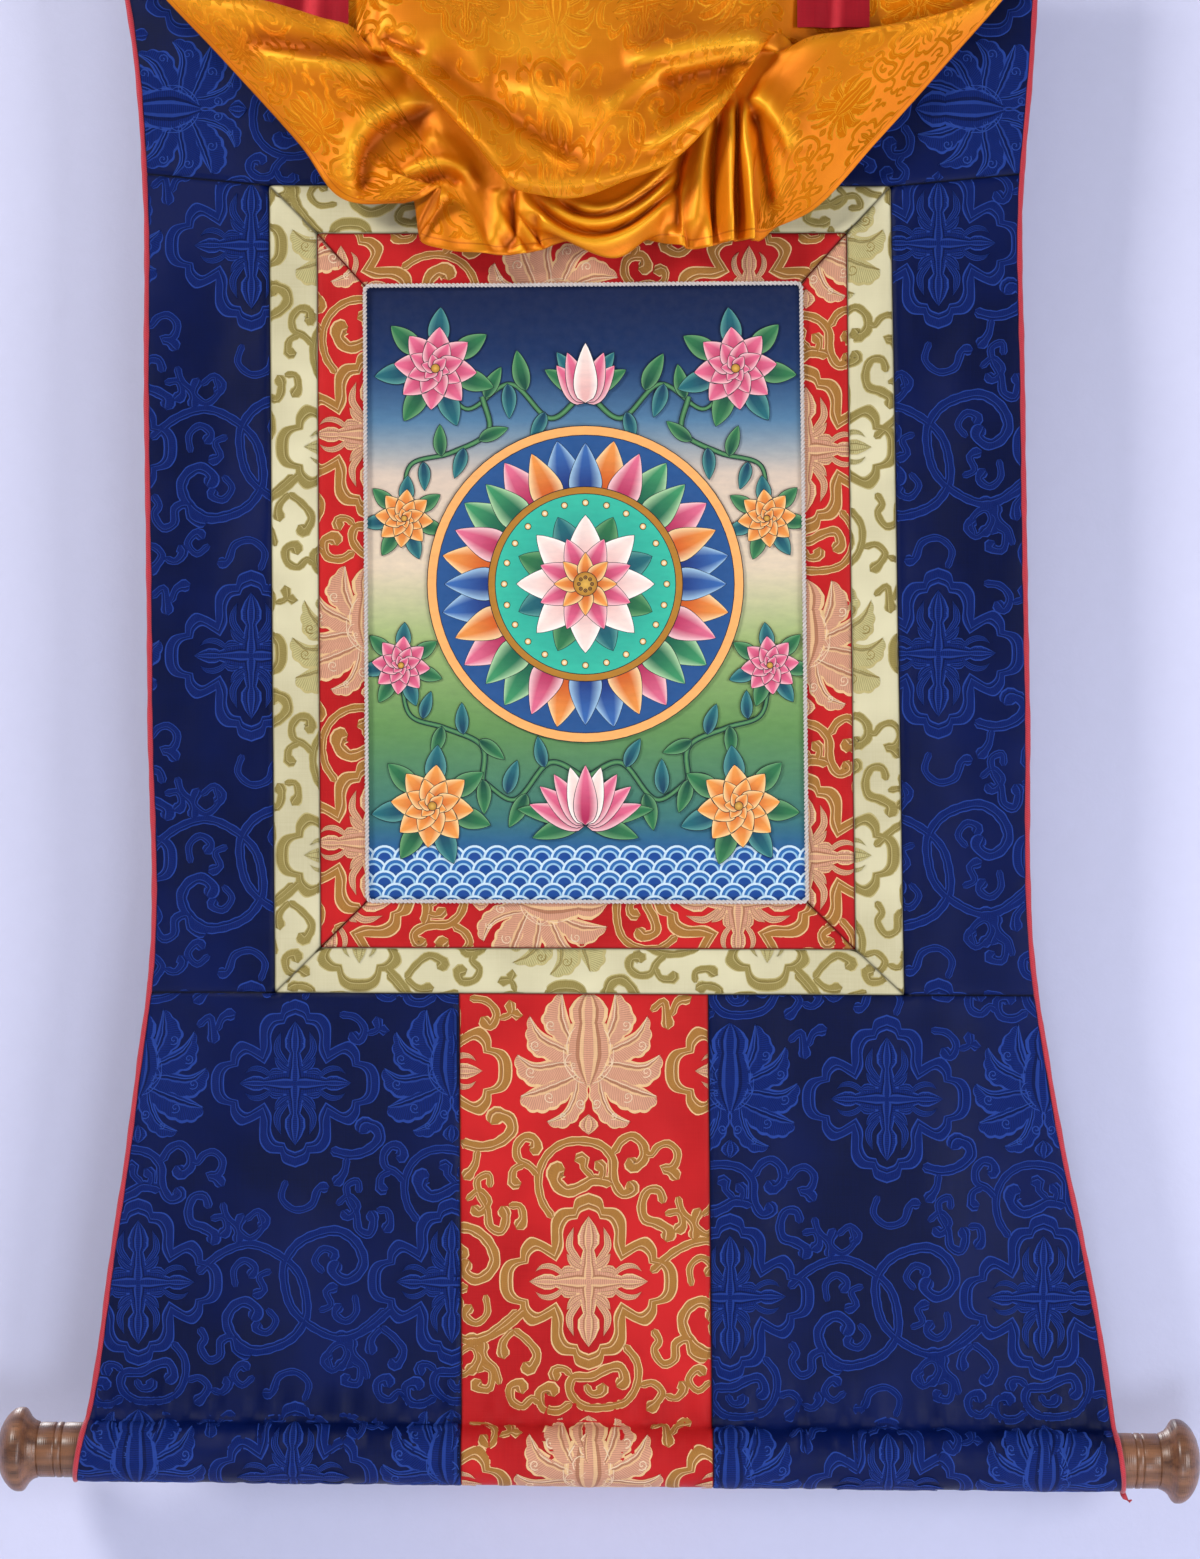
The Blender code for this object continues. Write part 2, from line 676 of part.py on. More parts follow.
def build_cord():
    ahead = PANEL_THICK / 2 + GAP + CORD_RADIUS
    route = cord_route(CORD_STRAIGHT_STEPS, CORD_CORNER_STEPS)
    centres = [on_body(x, drop, ahead) for x, drop in route]
    rings = []
    for k, centre in enumerate(centres):
        along = (centres[(k + 1) % len(centres)] - centres[k - 1]).normalized()
        forward = Vector((0, -1, 0))
        forward = (forward - along * forward.dot(along)).normalized()
        aside = forward.cross(along)
        ring = []
        for i in range(CORD_SIDES):
            turn = math.tau * i / CORD_SIDES
            ring.append(centre + (aside * math.cos(turn) + forward * math.sin(turn)) * CORD_RADIUS)
        rings.append(ring)
    tube("painting_cord", rings, True, "white_cord")


# ---------------------------------------------------------------- rod and knobs
def turned(name, start_x, side, profile, length):
    """A turned piece along the rod's axis from start_x, outwards to the given side."""
    axis = Vector((1, 0, -ROD_TILT)).normalized()
    upright = Vector((ROD_TILT, 0, 1)).normalized()
    forward = Vector((0, -1, 0))
    seat = Vector((start_x, 0, -rod_drop(start_x)))
    points = [seat]
    for along, radius in profile:
        centre = seat + axis * (side * along)
        for i in range(ROD_SIDES):
            turn = side * math.tau * i / ROD_SIDES
            points.append(centre + (upright * math.cos(turn) + forward * math.sin(turn)) * radius)
    points.append(seat + axis * (side * length))
    tip = len(points) - 1
    faces = []
    for i in range(ROD_SIDES):
        k = (i + 1) % ROD_SIDES
        faces.append((0, 1 + k, 1 + i))
        for j in range(len(profile) - 1):
            here = 1 + j * ROD_SIDES
            there = here + ROD_SIDES
            faces.append((here + i, here + k, there + k, there + i))
        last = 1 + (len(profile) - 1) * ROD_SIDES
        faces.append((last + i, last + k, tip))
    add_piece(name, points, faces, "turned_wood")


def build_rod():
    left, right = ROD_ENDS
    length = (right - left) * math.sqrt(1 + ROD_TILT**2)
    turned("bottom_rod", left, 1, ((0.0, ROD_RADIUS), (length, ROD_RADIUS)), length)
    turned("knob_left", left - GAP, -1, KNOB_PROFILE, KNOB_LENGTH)
    turned("knob_right", right + GAP, 1, KNOB_PROFILE, KNOB_LENGTH)


# ---------------------------------------------------------------- silk cover and ribbons
def outward(share, column):
    """The unit direction square to a turn's line, in x and drop, away from the folded layers."""
    start = read_rows(TURN_ROWS, max(0.0, share - TURN_PROBE))[column : column + 2]
    stop = read_rows(TURN_ROWS, min(1.0, share + TURN_PROBE))[column : column + 2]
    across = Vector(stop) - Vector(start)
    return Vector((-across.y, across.x)).normalized()


def cover_stations(share):
    """The cover's route from top hem to bottom hem at a share of its width, as a list of points
    with x, ahead and drop."""
    low_x, low, high_x, high, upper, face, below, above = read_rows(TURN_ROWS, share)
    lower = read_rows(FACE_ROWS, share)
    top_x = mix(COVER_TOP_X[0], COVER_TOP_X[1], share)
    folded = max(-1.0, min(1.0, (low - high) / FULL_FOLD))
    low_bend = outward(share, 0) * max(LEAST_BEND, abs(upper - below) / 2)
    high_bend = outward(share, 2) * max(LEAST_BEND, abs(above - face) / 2)
    bow = COVER_BOW * (upper - COVER_TOP_AHEAD)
    route = [
        (top_x, COVER_TOP_AHEAD, COVER_HEM_TOP),
        (mix(top_x, low_x, 0.5), mix(COVER_TOP_AHEAD, upper, 0.5) + bow, mix(COVER_HEM_TOP, low, 0.5)),
        (low_x - low_bend.x, upper, low - low_bend.y),
        (low_x, mix(upper, below, 0.5), low),
        (low_x - low_bend.x * folded, below, low - low_bend.y * folded),
        (high_x + high_bend.x * folded, above, high + high_bend.y * folded),
        (high_x, mix(above, face, 0.5), high),
        (high_x + high_bend.x, face, high + high_bend.y),
    ]
    for k in range(0, 12, 3):
        route.append((lower[k], lower[k + 2], lower[k + 1]))
    return [Vector(point) for point in route]


# Steps in each of its eleven stretches. The upper layer ends with the second, the lowest layer
# begins with the eighth.
STRETCH_STEPS = (4, 4, 1, 1, 2, 1, 1, 3, 3, 4, 4)
UPPER_UNTIL = 2
FACE_FROM = 7
CREASE_STEPS = 8


def pleat_shift(share, above_hem):
    """Sideways and forward shift of the lowest layer by its pleats."""
    sideways, ahead = 0.0, 0.0
    for middle, half_width, aside, forward, rise in PLEAT_ROWS:
        away = (share - middle) / half_width
        if abs(away) < 1.0:
            bump = math.cos(away * math.pi / 2) ** 2
            fade = smooth_step(1.0 - above_hem / rise)
            sideways += aside * bump * fade
            ahead += forward * bump * fade
    return sideways, ahead


def crease_shift(layer, x, drop):
    """Forward shift of a layer of the cover at a place by the creases that lie in it."""
    place = Vector((x, drop))
    shift = 0.0
    for kind, x0, drop0, x1, drop1, x2, drop2, half_width, ahead in CREASE_ROWS:
        if kind != layer:
            continue
        start, middle, stop = Vector((x0, drop0)), Vector((x1, drop1)), Vector((x2, drop2))
        nearest = min(
            (mix(mix(start, middle, t), mix(middle, stop, t), t) - place).length
            for t in (i / CREASE_STEPS for i in range(CREASE_STEPS + 1))
        )
        shift += ahead * math.exp(-((nearest / half_width) ** 2))
    return shift


def cover_column(share):
    """The cover's points from top hem to bottom hem at a share of its width."""
    route = cover_stations(share)
    knots = [0.0]
    for before, after in zip(route, route[1:]):
        knots.append(knots[-1] + math.sqrt((after - before).length))
    column = []
    for k, steps in enumerate(STRETCH_STEPS):
        for i in range(steps + (k == len(STRETCH_STEPS) - 1)):
            t = mix(knots[k], knots[k + 1], i / steps)
            x, ahead, drop = curve_value(knots, route, t)
            along = k + i / steps
            in_upper = smooth_step((UPPER_UNTIL + 2 - along) / 2)
            in_face = smooth_step((along - FACE_FROM + 2) / 2)
            ahead += in_upper * crease_shift("upper", x, drop)
            ahead += in_face * crease_shift("face", x, drop)
            aside, forward = pleat_shift(share, route[-1].z - drop)
            column.append(Vector((x + in_face * aside, -ahead - in_face * forward, -drop)))
    return column


def build_cover():
    shares = [0.0]
    for stop, count in COVER_SPREAD:
        start = shares[-1]
        shares += [mix(start, stop, (i + 1) / count) for i in range(count)]
    columns = [cover_column(share) for share in shares]
    grid = [[column[j] for column in columns] for j in range(len(columns[0]))]
    sheet("silk_cover", grid, SILK_THICK, "gold_silk", NORMAL_SOFTENINGS)


def build_ribbon(name, left, right, foot):
    """A ribbon from the top edge, in front of the cover's back layer, with one soft fold."""
    grid = []
    for j in range(RIBBON_ROWS + 1):
        t = j / RIBBON_ROWS
        line = []
        for i in range(RIBBON_COLUMNS + 1):
            s = i / RIBBON_COLUMNS
            ripple = RIBBON_RIPPLE * t * math.sin(s * math.tau)
            ahead = mix(RIBBON_TOP_AHEAD, RIBBON_FOOT_AHEAD, t) + ripple
            line.append(Vector((mix(left, right, s), -ahead, -mix(COVER_HEM_TOP, foot, t))))
        grid.append(line)
    sheet(name, grid, SILK_THICK, "crimson_silk")


def main():
    for old in list(bpy.data.objects):
        bpy.data.objects.remove(old, do_unlink=True)
    left_grids, right_grids = build_body()
    build_frame("yellow_frame", OUTER_FRAME, MIDDLE_FRAME, "yellow_brocade")
    build_frame("red_frame", MIDDLE_FRAME, INNER_FRAME, "red_brocade")
    build_painting()
    build_binding("binding_left", left_grids, 0, -1)
    build_binding("binding_right", right_grids, -1, 1)
    build_cord()
    build_rod()
    build_cover()
    build_ribbon("ribbon_left", *RIBBON_LEFT)
    build_ribbon("ribbon_right", *RIBBON_RIGHT)


main()
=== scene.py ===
"""The looks of a thangka scroll painting that hangs flat: figured brocades round a painted sheet, a
turned roller in a sewn casing at the foot, and a gathered damask cover with two ribbons at the head.

Sizes are in millimetres until a mesh is made. x runs to the right, drop is the distance below the
top edge and ahead the distance towards the front. s is a length of cloth, measured down from the
top edge: it is the drop too, until the cloth turns round the roller."""

import math

import bpy
import numpy as np
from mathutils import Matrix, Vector


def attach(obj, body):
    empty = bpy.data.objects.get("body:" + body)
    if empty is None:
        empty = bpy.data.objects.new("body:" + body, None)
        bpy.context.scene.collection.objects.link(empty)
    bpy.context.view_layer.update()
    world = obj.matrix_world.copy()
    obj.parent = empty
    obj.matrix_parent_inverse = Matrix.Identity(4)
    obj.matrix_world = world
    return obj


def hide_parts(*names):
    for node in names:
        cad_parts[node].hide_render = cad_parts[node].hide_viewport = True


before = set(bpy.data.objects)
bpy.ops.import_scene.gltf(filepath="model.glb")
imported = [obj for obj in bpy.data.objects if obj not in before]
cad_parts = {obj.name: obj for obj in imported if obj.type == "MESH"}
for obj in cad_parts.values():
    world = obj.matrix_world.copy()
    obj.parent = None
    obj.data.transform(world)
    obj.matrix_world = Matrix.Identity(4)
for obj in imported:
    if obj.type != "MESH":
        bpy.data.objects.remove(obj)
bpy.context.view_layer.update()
MM = 0.001

# Places that were read off the photograph are kept in its pixels, across and down. A pixel
# is PHOTO_MM wide, x is 0 at pixel PHOTO_MIDDLE and the top edge is at pixel PHOTO_TOP. What lies
# ahead of the cloth looks larger in the photograph, away from the place that the camera faces.
PHOTO_MM = 0.64
PHOTO_MIDDLE, PHOTO_TOP = 587, -85
CAMERA_DISTANCE = 2000.0
CAMERA_X, CAMERA_DROP = 8.3, 553.3


def from_photo(across, down, ahead):
    """The x and drop, to the nearest millimetre, of what is seen at a pixel and lies that far ahead."""
    nearer = 1 - ahead / CAMERA_DISTANCE
    x = CAMERA_X + ((across - PHOTO_MIDDLE) * PHOTO_MM - CAMERA_X) * nearer
    drop = CAMERA_DROP + ((down - PHOTO_TOP) * PHOTO_MM - CAMERA_DROP) * nearer
    return round(x), round(drop)


# ---- sizes of the hung body
PANEL_THICK = 1.6
PAINTING_THICK = 1.2
SILK_THICK = 1.0
GAP = 0.3

# The bound side edges, a row for each bend: drop, left x, right x.
EDGE_ROWS = (
    (0, -302, 288),
    (93, -287, 283),
    (182, -281, 276),
    (310, -280, 277),
    (502, -278, 280),
    (685, -278, 285),
    (730, -284, 292),
    (792, -292, 303),
    (858, -302, 317),
    (918, -310, 328),
    (1010, -327, 341),
)

# Corners of the nested frames: left top, right top, right bottom, left bottom, as x, drop.
OUTER_FRAME = ((-203.5, 172.8), (194.2, 173.4), (202.9, 690.9), (-199.7, 689.3))
MIDDLE_FRAME = ((-172.8, 203.5), (166.1, 203.2), (171.8, 661.8), (-170.6, 660.5))
INNER_FRAME = ((-142.1, 237.4), (137.0, 235.5), (140.8, 631.4), (-140.5, 630.7))
TOP_SEAM_AT_EDGE = 165.5
DOOR_TOP, DOOR_FOOT = 690.0, 1005.0
DOOR_TOP_X = (-81.9, 77.4)
DOOR_FOOT_X = (-80.0, 80.3)

# Soft bulges of the hung body: x, drop, half width, half height, ahead.
BODY_BULGES = (
    (-235, 850, 40, 110, 4.0),
    (-150, 880, 34, 90, -2.5),
    (-110, 780, 30, 80, 1.5),
    (230, 860, 42, 110, 4.5),
    (145, 890, 34, 90, -2.5),
    (0, 830, 50, 90, 1.5),
    (-255, 420, 22, 150, 1.5),
    (255, 480, 22, 150, 1.5),
)
EDGE_CURL = 2.5
EDGE_CURL_WIDTH = 22.0
FLAT_BELOW_TOP = 190.0
FLAT_ABOVE_CASING = 60.0
CASING_BEND = 27.0

# Slight waves of the cloth: wave length across, wave length down, turn of the wave, ahead.
CLOTH_WAVES = (
    (173, 390, 0.7, 0.75),
    (96, 231, 2.1, 0.50),
    (61, 118, 4.0, 0.30),
    (37, 74, 1.3, 0.14),
)
SEAM_DIP = 0.75
SEAM_DIP_WIDTH = 1.5
SEAM_PUFF = 0.30
SEAM_PUFF_AT = 5.0
SEAM_PUFF_WIDTH = 3.5
SEAM_PUCKER = 0.12
SEAM_LINE_WIDTH = 1.2
SEAM_PUCKER_PITCH = 7.0
# How far the puckers stray from that pitch, in radians, and the length in which that changes.
SEAM_STRAY, SEAM_STRAY_LENGTH = 1.7, 23.0

# ---- roller, casing and knobs
ROD_RADIUS = 17.5
ROD_AXIS_DROP = 985.4
ROD_TILT = 0.01056
ROD_ENDS = (-318.0, 333.0)
CASING_RADIUS = ROD_RADIUS + GAP + PANEL_THICK / 2
CASING_START = 40.0
# The stitching runs through this point of the casing's line, 21 mm above the roller's axis.
STITCH_POINT = 29
STITCH_DIP = 1.1
STITCH_DIP_WIDTH = 1.7
FLAP_END = 24.0
FLAP_BEHIND = PANEL_THICK + 2 * GAP

# The casing's way from the flat cloth out onto the roller: ahead, height above the roller's axis.
CASING_SHOULDER = ((0.0, 40.0), (0.1, 32.0), (0.5, 26.0), (1.4, 22.6), (3.0, 20.2))
CASING_TURN_START = math.radians(14)

# Puckers along the casing's stitching: wave length, phase, ahead.
CASING_PUCKERS = ((23, 0.4, 1.2), (14.3, 2.0, 0.9), (9.1, 4.4, 0.35), (47, 1.1, 1.0))
PUCKER_ABOVE, PUCKER_BELOW = 20.0, 26.0
PUCKER_STRAY, PUCKER_STRAY_LENGTH = 1.1, 31.0
# How much of the puckers the stitches hold down, the length over which they turn into ridges on the
# roller, and how much higher those are.
STITCH_HOLD = 0.75
RIDGES_FROM, RIDGE_GAIN = 8.0, 1.1
# A soft fold above the stitching: how far above it, its half width, ahead. It strays up and down,
# and gets deeper and shallower.
CASING_FOLD = (13.0, 5.0, -1.2)
FOLD_STRAY, FOLD_STRAY_LENGTH = 2.5, 37.0
FOLD_SWELL, FOLD_SWELL_LENGTH = 0.5, 19.0

# Turned end knob: distance from its seat on the roller, radius.
KNOB_PROFILE = (
    (0.0, 17.0), (0.5, 17.4), (15.3, 17.4), (15.8, 17.1), (16.3, 16.6), (16.8, 17.1), (17.3, 17.5),
    (19.9, 17.5), (20.4, 17.1), (20.9, 16.6), (21.4, 17.1), (21.9, 17.4), (26.0, 17.3), (30.9, 17.4),
    (31.4, 17.0), (31.8, 16.8), (32.4, 17.6), (34.2, 18.3), (36.4, 19.5), (38.4, 21.4), (39.9, 23.9),
    (40.9, 25.4), (41.8, 26.2), (43.0, 26.5), (45.0, 26.5), (46.6, 26.2), (48.4, 25.3), (50.4, 23.7),
    (52.4, 21.5), (54.2, 18.8), (55.8, 15.6), (57.0, 11.8), (57.7, 7.6), (58.0, 2.5),
)
KNOB_SIDES = 72

# ---- bindings and cord
BINDING_HALF_WIDTH = 1.7
BINDING_HALF_DEPTH = 1.5
BINDING_OUT = 1.5
BINDING_PROUD = 0.5
BINDING_SIDES = 10
BINDING_STEP = 3.0
# How its width changes along it: radians at each step, phase, share of the width.
BINDING_WAVES = ((0.37, 0.0, 0.09), (0.851, 1.0, 0.06))
# The last rings of the binding draw in to its end.
BINDING_TAPER = (0.85, 0.6, 0.25)
# The binding's loose end past the casing's mouth, from its last stitch: x, ahead, drop.
BINDING_TAIL = ((0.6, 0.2, 3.0), (2.2, 0.6, 5.5), (4.6, 1.0, 6.4), (6.4, 1.4, 5.0))
CORD_RADIUS = 1.5
CORD_STRAND_RADIUS = 0.82
CORD_TWIST = 5.2
CORD_STEP = 0.9
CORD_SIDES = 8
CORD_CORNER = 4.0
# How much of the cloth's relief the cord follows.
CORD_FOLLOWS = 0.5

# ---- silk cover and ribbons
COVER_TOP_X = (-280.0, 276.0)
COVER_TOP_AHEAD = PANEL_THICK / 2 + GAP + SILK_THICK / 2
COVER_HEM_TOP = 1.0
COVER_BOW = 0.14

# The cover's two turns as seen in the photograph, a row for each section across it, from 0 at the
# left hem to 1 at the right: share, the low turn's pixel, the high turn's pixel, then how far ahead
# lie the layer above the low turn, the layer below the high turn, and the layer between them at its
# low and at its high end.
SEEN_TURNS = (
    (0.000, 150, -42, 153, -22, 2, 8, 4, 5),
    (0.070, 203, 18, 205, -5, 5, 19, 11, 13),
    (0.140, 265, 68, 262, 0, 5, 22, 14, 15),
    (0.200, 321, 85, 321, 17, 5, 22, 14, 15),
    (0.240, 354, 68, 354, 28, 5, 22, 14, 15),
    (0.262, 368, 32, 368, 46, 10, 17, 12, 14),
    (0.280, 377, 34, 377, 50, 17, 13, 15.5, 15),
    (0.300, 392, 56, 394, 52, 21, 12, 17.5, 16),
    (0.335, 429, 93, 430, 60, 27, 12, 23, 18),
    (0.370, 471, 139, 470, 80, 32, 12, 27, 19),
    (0.410, 509, 183, 512, 98, 36, 12, 31, 20),
    (0.450, 539, 194, 545, 108, 38, 12, 33, 21),
    (0.500, 575, 196, 580, 112, 39, 12, 34, 21),
    (0.560, 623, 181, 625, 108, 39, 12, 34, 21),
    (0.620, 678, 156, 670, 94, 37, 12, 32, 20),
    (0.665, 720, 109, 712, 70, 33, 12, 28, 19),
    (0.690, 742, 76, 738, 58, 29, 12, 24, 18),
    (0.706, 758, 54, 756, 48, 24, 12, 20, 17),
    (0.724, 772, 34, 772, 50, 18, 13, 15.5, 15),
    (0.742, 783, 34, 783, 50, 10, 17, 12, 14),
    (0.762, 808, 66, 806, 38, 5, 21, 13, 14),
    (0.800, 842, 86, 842, 31, 5, 22, 14, 15),
    (0.860, 893, 73, 895, 24, 5, 22, 14, 15),
    (0.930, 957, 24, 960, 8, 5, 18, 11, 13),
    (1.000, 1016, -38, 1010, -18, 2, 8, 4, 5),
)


def turn_row(share, low_across, low_down, high_across, high_down, upper, face, below, above):
    """The same row with the x and drop of the two turns in place of their pixels."""
    low = from_photo(low_across, low_down, (upper + below) / 2)
    high = from_photo(high_across, high_down, (above + face) / 2)
    return (share, *low, *high, upper, face, below, above)


TURN_ROWS = [turn_row(*row) for row in SEEN_TURNS]
FULL_FOLD = 20.0
LEAST_BEND = 2.0
TURN_PROBE = 0.004

# The cover's lowest layer, from the high turn to the hem, as seen in the photograph: share, then the
# pixel of its upper, middle and lower points and of the hem, each with how far ahead it lies.
SEEN_FACE = (
    (0.00, 219, 55, 10, 300, 145, 15, 342, 199, 20, 404, 203, 17),
    (0.05, 252, 60, 17, 313, 124, 23, 365, 182, 23, 424, 197, 26),
    (0.09, 285, 63, 24, 335, 115, 27, 384, 167, 24, 441, 188, 28),
    (0.12, 308, 62, 27, 352, 116, 26, 399, 172, 19, 437, 209, 22),
    (0.16, 336, 63, 28, 375, 120, 24, 411, 180, 14, 420, 239, 15),
    (0.20, 366, 74, 24, 402, 126, 16, 432, 184, 15, 448, 250, 18),
    (0.27, 396, 90, 14, 434, 145, 13, 472, 195, 15, 504, 255, 16),
    (0.34, 452, 112, 11, 478, 150, 11, 505, 200, 13, 536, 250, 13),
    (0.42, 520, 138, 11, 525, 172, 13, 535, 222, 19, 562, 242, 9),
    (0.50, 590, 150, 11, 592, 205, 20, 610, 256, 20, 600, 238, 6),
    (0.57, 652, 138, 11, 655, 175, 16, 648, 236, 17, 650, 240, 8),
    (0.62, 690, 124, 11, 690, 162, 13, 684, 206, 14, 686, 248, 15),
    (0.70, 742, 92, 12, 734, 142, 15, 728, 192, 17, 728, 242, 18),
    (0.76, 782, 80, 18, 762, 137, 18, 752, 190, 17, 752, 240, 17),
    (0.84, 838, 75, 25, 794, 130, 25, 770, 190, 20, 758, 240, 15),
    (0.92, 908, 60, 21, 848, 125, 22, 798, 186, 20, 765, 236, 13),
    (1.00, 946, 63, 10, 876, 141, 15, 813, 209, 16, 772, 228, 11),
)


def face_row(share, *places):
    """The same row with x and drop in place of each pixel."""
    row = [share]
    for across, down, ahead in zip(places[0::3], places[1::3], places[2::3]):
        row += [*from_photo(across, down, ahead), ahead]
    return row


FACE_ROWS = [face_row(*row) for row in SEEN_FACE]

# Soft ridges and troughs as seen in the photograph, each along a curve from its start to its end,
# drawn towards a middle place: the layer it lies in, the pixels of the three places, its half width
# on the left and on the right hand of one who walks along it as seen, in mm, how far it stands
# ahead of its layer, and how far ahead that layer lies there.
SEEN_CREASES = (
    ("upper", 382, 38, 450, 108, 510, 178, 9, 3.2, 4, 30),
    ("upper", 380, 30, 400, 46, 426, 54, 5, 5, -5, 22),
    ("upper", 424, 44, 500, 112, 590, 160, 12, 9, -8, 34),
    ("upper", 520, 70, 575, 112, 640, 128, 13, 13, 3, 34),
    ("upper", 624, 66, 700, 42, 776, 42, 11, 2.6, 5, 28),
    ("upper", 656, 80, 712, 64, 757, 60, 3.4, 17, -9, 28),
    ("upper", 652, 112, 704, 92, 744, 74, 13, 13, -6, 28),
    ("upper", 600, 110, 636, 90, 668, 62, 7, 6, 3, 32),
    ("upper", 636, 158, 712, 116, 757, 60, 7, 3.5, 5, 28),
    ("upper", 500, 176, 575, 202, 682, 154, 7, 3, 3, 38),
    ("upper", 480, 70, 520, 60, 575, 80, 12, 12, -3, 34),
    ("face", 240, 30, 330, 50, 404, 57, 7, 8, -3.5, 24),
    ("face", 246, 48, 335, 72, 404, 64, 3.6, 12, 5, 24),
    ("face", 432, 94, 342, 116, 350, 184, 4, 12, 5, 24),
    ("face", 436, 104, 348, 120, 364, 200, 18, 4.5, -8, 22),
    ("face", 420, 136, 452, 140, 470, 176, 8, 14, 4, 20),
    ("face", 396, 180, 450, 140, 476, 190, 5, 3.6, 5, 18),
    ("face", 422, 184, 446, 166, 460, 184, 4.5, 4.5, -5, 16),
    ("face", 446, 190, 424, 206, 416, 238, 3.2, 5, 5, 16),
    ("face", 514, 182, 514, 214, 509, 252, 2.6, 5, -6, 14),
    ("face", 537, 214, 538, 230, 536, 250, 2.2, 4, -4, 12),
    ("face", 498, 186, 500, 216, 492, 250, 7, 5, 4, 14),
    ("face", 520, 194, 600, 300, 688, 170, 3, 6, 5, 20),
    ("face", 530, 194, 602, 282, 688, 166, 2.6, 3, -6, 20),
    ("face", 540, 194, 604, 264, 684, 162, 3, 5, 5, 18),
    ("face", 556, 198, 606, 246, 680, 160, 2.6, 3, -5, 18),
    ("face", 572, 202, 612, 230, 672, 162, 3, 4, 4, 18),
    ("face", 690, 138, 672, 185, 674, 236, 2.6, 5, -7, 16),
    ("face", 714, 110, 696, 170, 693, 240, 3, 7, 7, 18),
    ("face", 722, 106, 712, 160, 713, 238, 2.6, 5, -8, 16),
    ("face", 734, 98, 728, 150, 730, 238, 3, 6, 7, 18),
    ("face", 738, 98, 737, 160, 738, 238, 2, 3, -7, 16),
    ("face", 744, 96, 744, 160, 746, 236, 3, 4, 6, 18),
    ("face", 750, 92, 775, 106, 792, 156, 12, 3, 6, 24),
    ("face", 752, 108, 764, 134, 770, 212, 5, 4, -8, 16),
)


def crease_row(layer, *seen):
    """The layer, the x and drop of the three places in turn, the half widths and how far ahead."""
    row = [layer]
    for across, down in zip(seen[0:6:2], seen[1:6:2]):
        row += from_photo(across, down, seen[-1])
    return (*row, *seen[6:-1])


CREASE_ROWS = [crease_row(*row) for row in SEEN_CREASES]
CREASE_STEPS = 16
# A crease starts with a part of its height and comes to its full height along its first part.
CREASE_FADE, CREASE_END = 5.0, 0.2

# Pleats of that layer: share of their middle, half width, sideways, ahead, rise above the hem.
PLEAT_ROWS = (
    (0.235, 0.030, 4, 5, 50),
    (0.300, 0.022, 3, 5, 40),
    (0.345, 0.020, 2, 4, 30),
    (0.605, 0.018, 4, 6, 50),
    (0.650, 0.018, 4, 7, 75),
    (0.693, 0.018, 4, 8, 90),
    (0.738, 0.020, 5, 9, 95),
)
COVER_SPREAD = ((0.09, 20), (0.14, 18), (0.24, 30), (0.29, 22), (0.58, 72), (0.79, 76), (1.0, 48))
COVER_STEPS = (8, 36, 4, 3, 4, 3, 4, 10, 20, 22, 20)
COVER_SOFTENINGS = 5
UPPER_UNTIL = 5
# The stretches between its two turns, where no damask shows.
HIDDEN_FROM, HIDDEN_UNTIL = 3, 6
FACE_FROM = 7
COVER_WIDTH, COVER_LENGTH = 557.0, 300.0
COVER_SELVAGE = 7.5
COVER_FIGURE_RISE = 0.2
# The damask doesn't show in the cover's lowest layer between these shares of its width.
PLAIN_FACE = (0.24, 0.79)
# How often the cover is evened to find its hollows and ridges, and the depth at which the
# painted shade of a hollow is darkest and the painted highlight of a ridge brightest.
FOLD_EVENINGS = 16
FOLD_DEPTH = 2.1
COVER_WEAVING = (262.0, 52.0, 0.55, 0)

# Ribbons: left x, right x, foot drop.
RIBBON_LEFT = (-206, -152, 76)
RIBBON_RIGHT = (134, 180, 74)
RIBBON_TOP_AHEAD = COVER_TOP_AHEAD + GAP + SILK_THICK
RIBBON_FOOT_AHEAD = 10.0
RIBBON_RIPPLE = 0.5
# Waves across a ribbon: wave length as a share of its width, phase, ahead.
RIBBON_WAVES = ((0.85, 0.4, 1.5), (0.37, 2.2, 0.7))
# How far the waves lean on their way down, in radians, and the points across and down a ribbon.
RIBBON_LEAN = 1.5
RIBBON_COLUMNS, RIBBON_ROWS = 25, 31

# ---- the brocade's repeat
# The repeat is a column of lotus and frame in turn, and beside it a column of a frame and a pair of
# linked spirals. All places are in millimetres of the largest weaving, that of the red door.
REPEAT_ACROSS = 212.0
REPEAT_DOWN = 272.0
FRAME_BELOW_LOTUS = 139.0
SIDE_FRAME_BELOW = 4.5
SIDE_SPIRALS_BELOW = 145.0

# Petals of the lotus, one side of it: the points of the frilled edge, then of the smooth edge, each
# from the petal's root to its tip as x, y. The lowest petals come first.
LOTUS_PETALS = (
    (((0, 8), (1, 22), (5, 32), (12, 39), (20, 41), (27, 37)), ((9, 6), (11, 19), (16, 30), (27, 37))),
    (((6, 14), (16, 25), (25, 30), (35, 31), (42, 27), (44, 21)), ((6, 4), (20, 8), (33, 14), (44, 21))),
    (((6, 8), (20, 11), (33, 15), (43, 10), (47, 2), (46, -6)), ((5, -4), (20, -4), (34, -1), (46, -6))),
    (((14, 3), (28, -3), (37, -7), (40, -18), (38, -31)), ((8, -10), (19, -15), (30, -21), (38, -31))),
    (((17, -12), (26, -20), (30, -28), (25, -39), (17, -46)), ((8, -14), (11, -24), (14, -34), (17, -46))),
)
FRILL_PITCH, FRILL_DEPTH = 9.0, 1.3
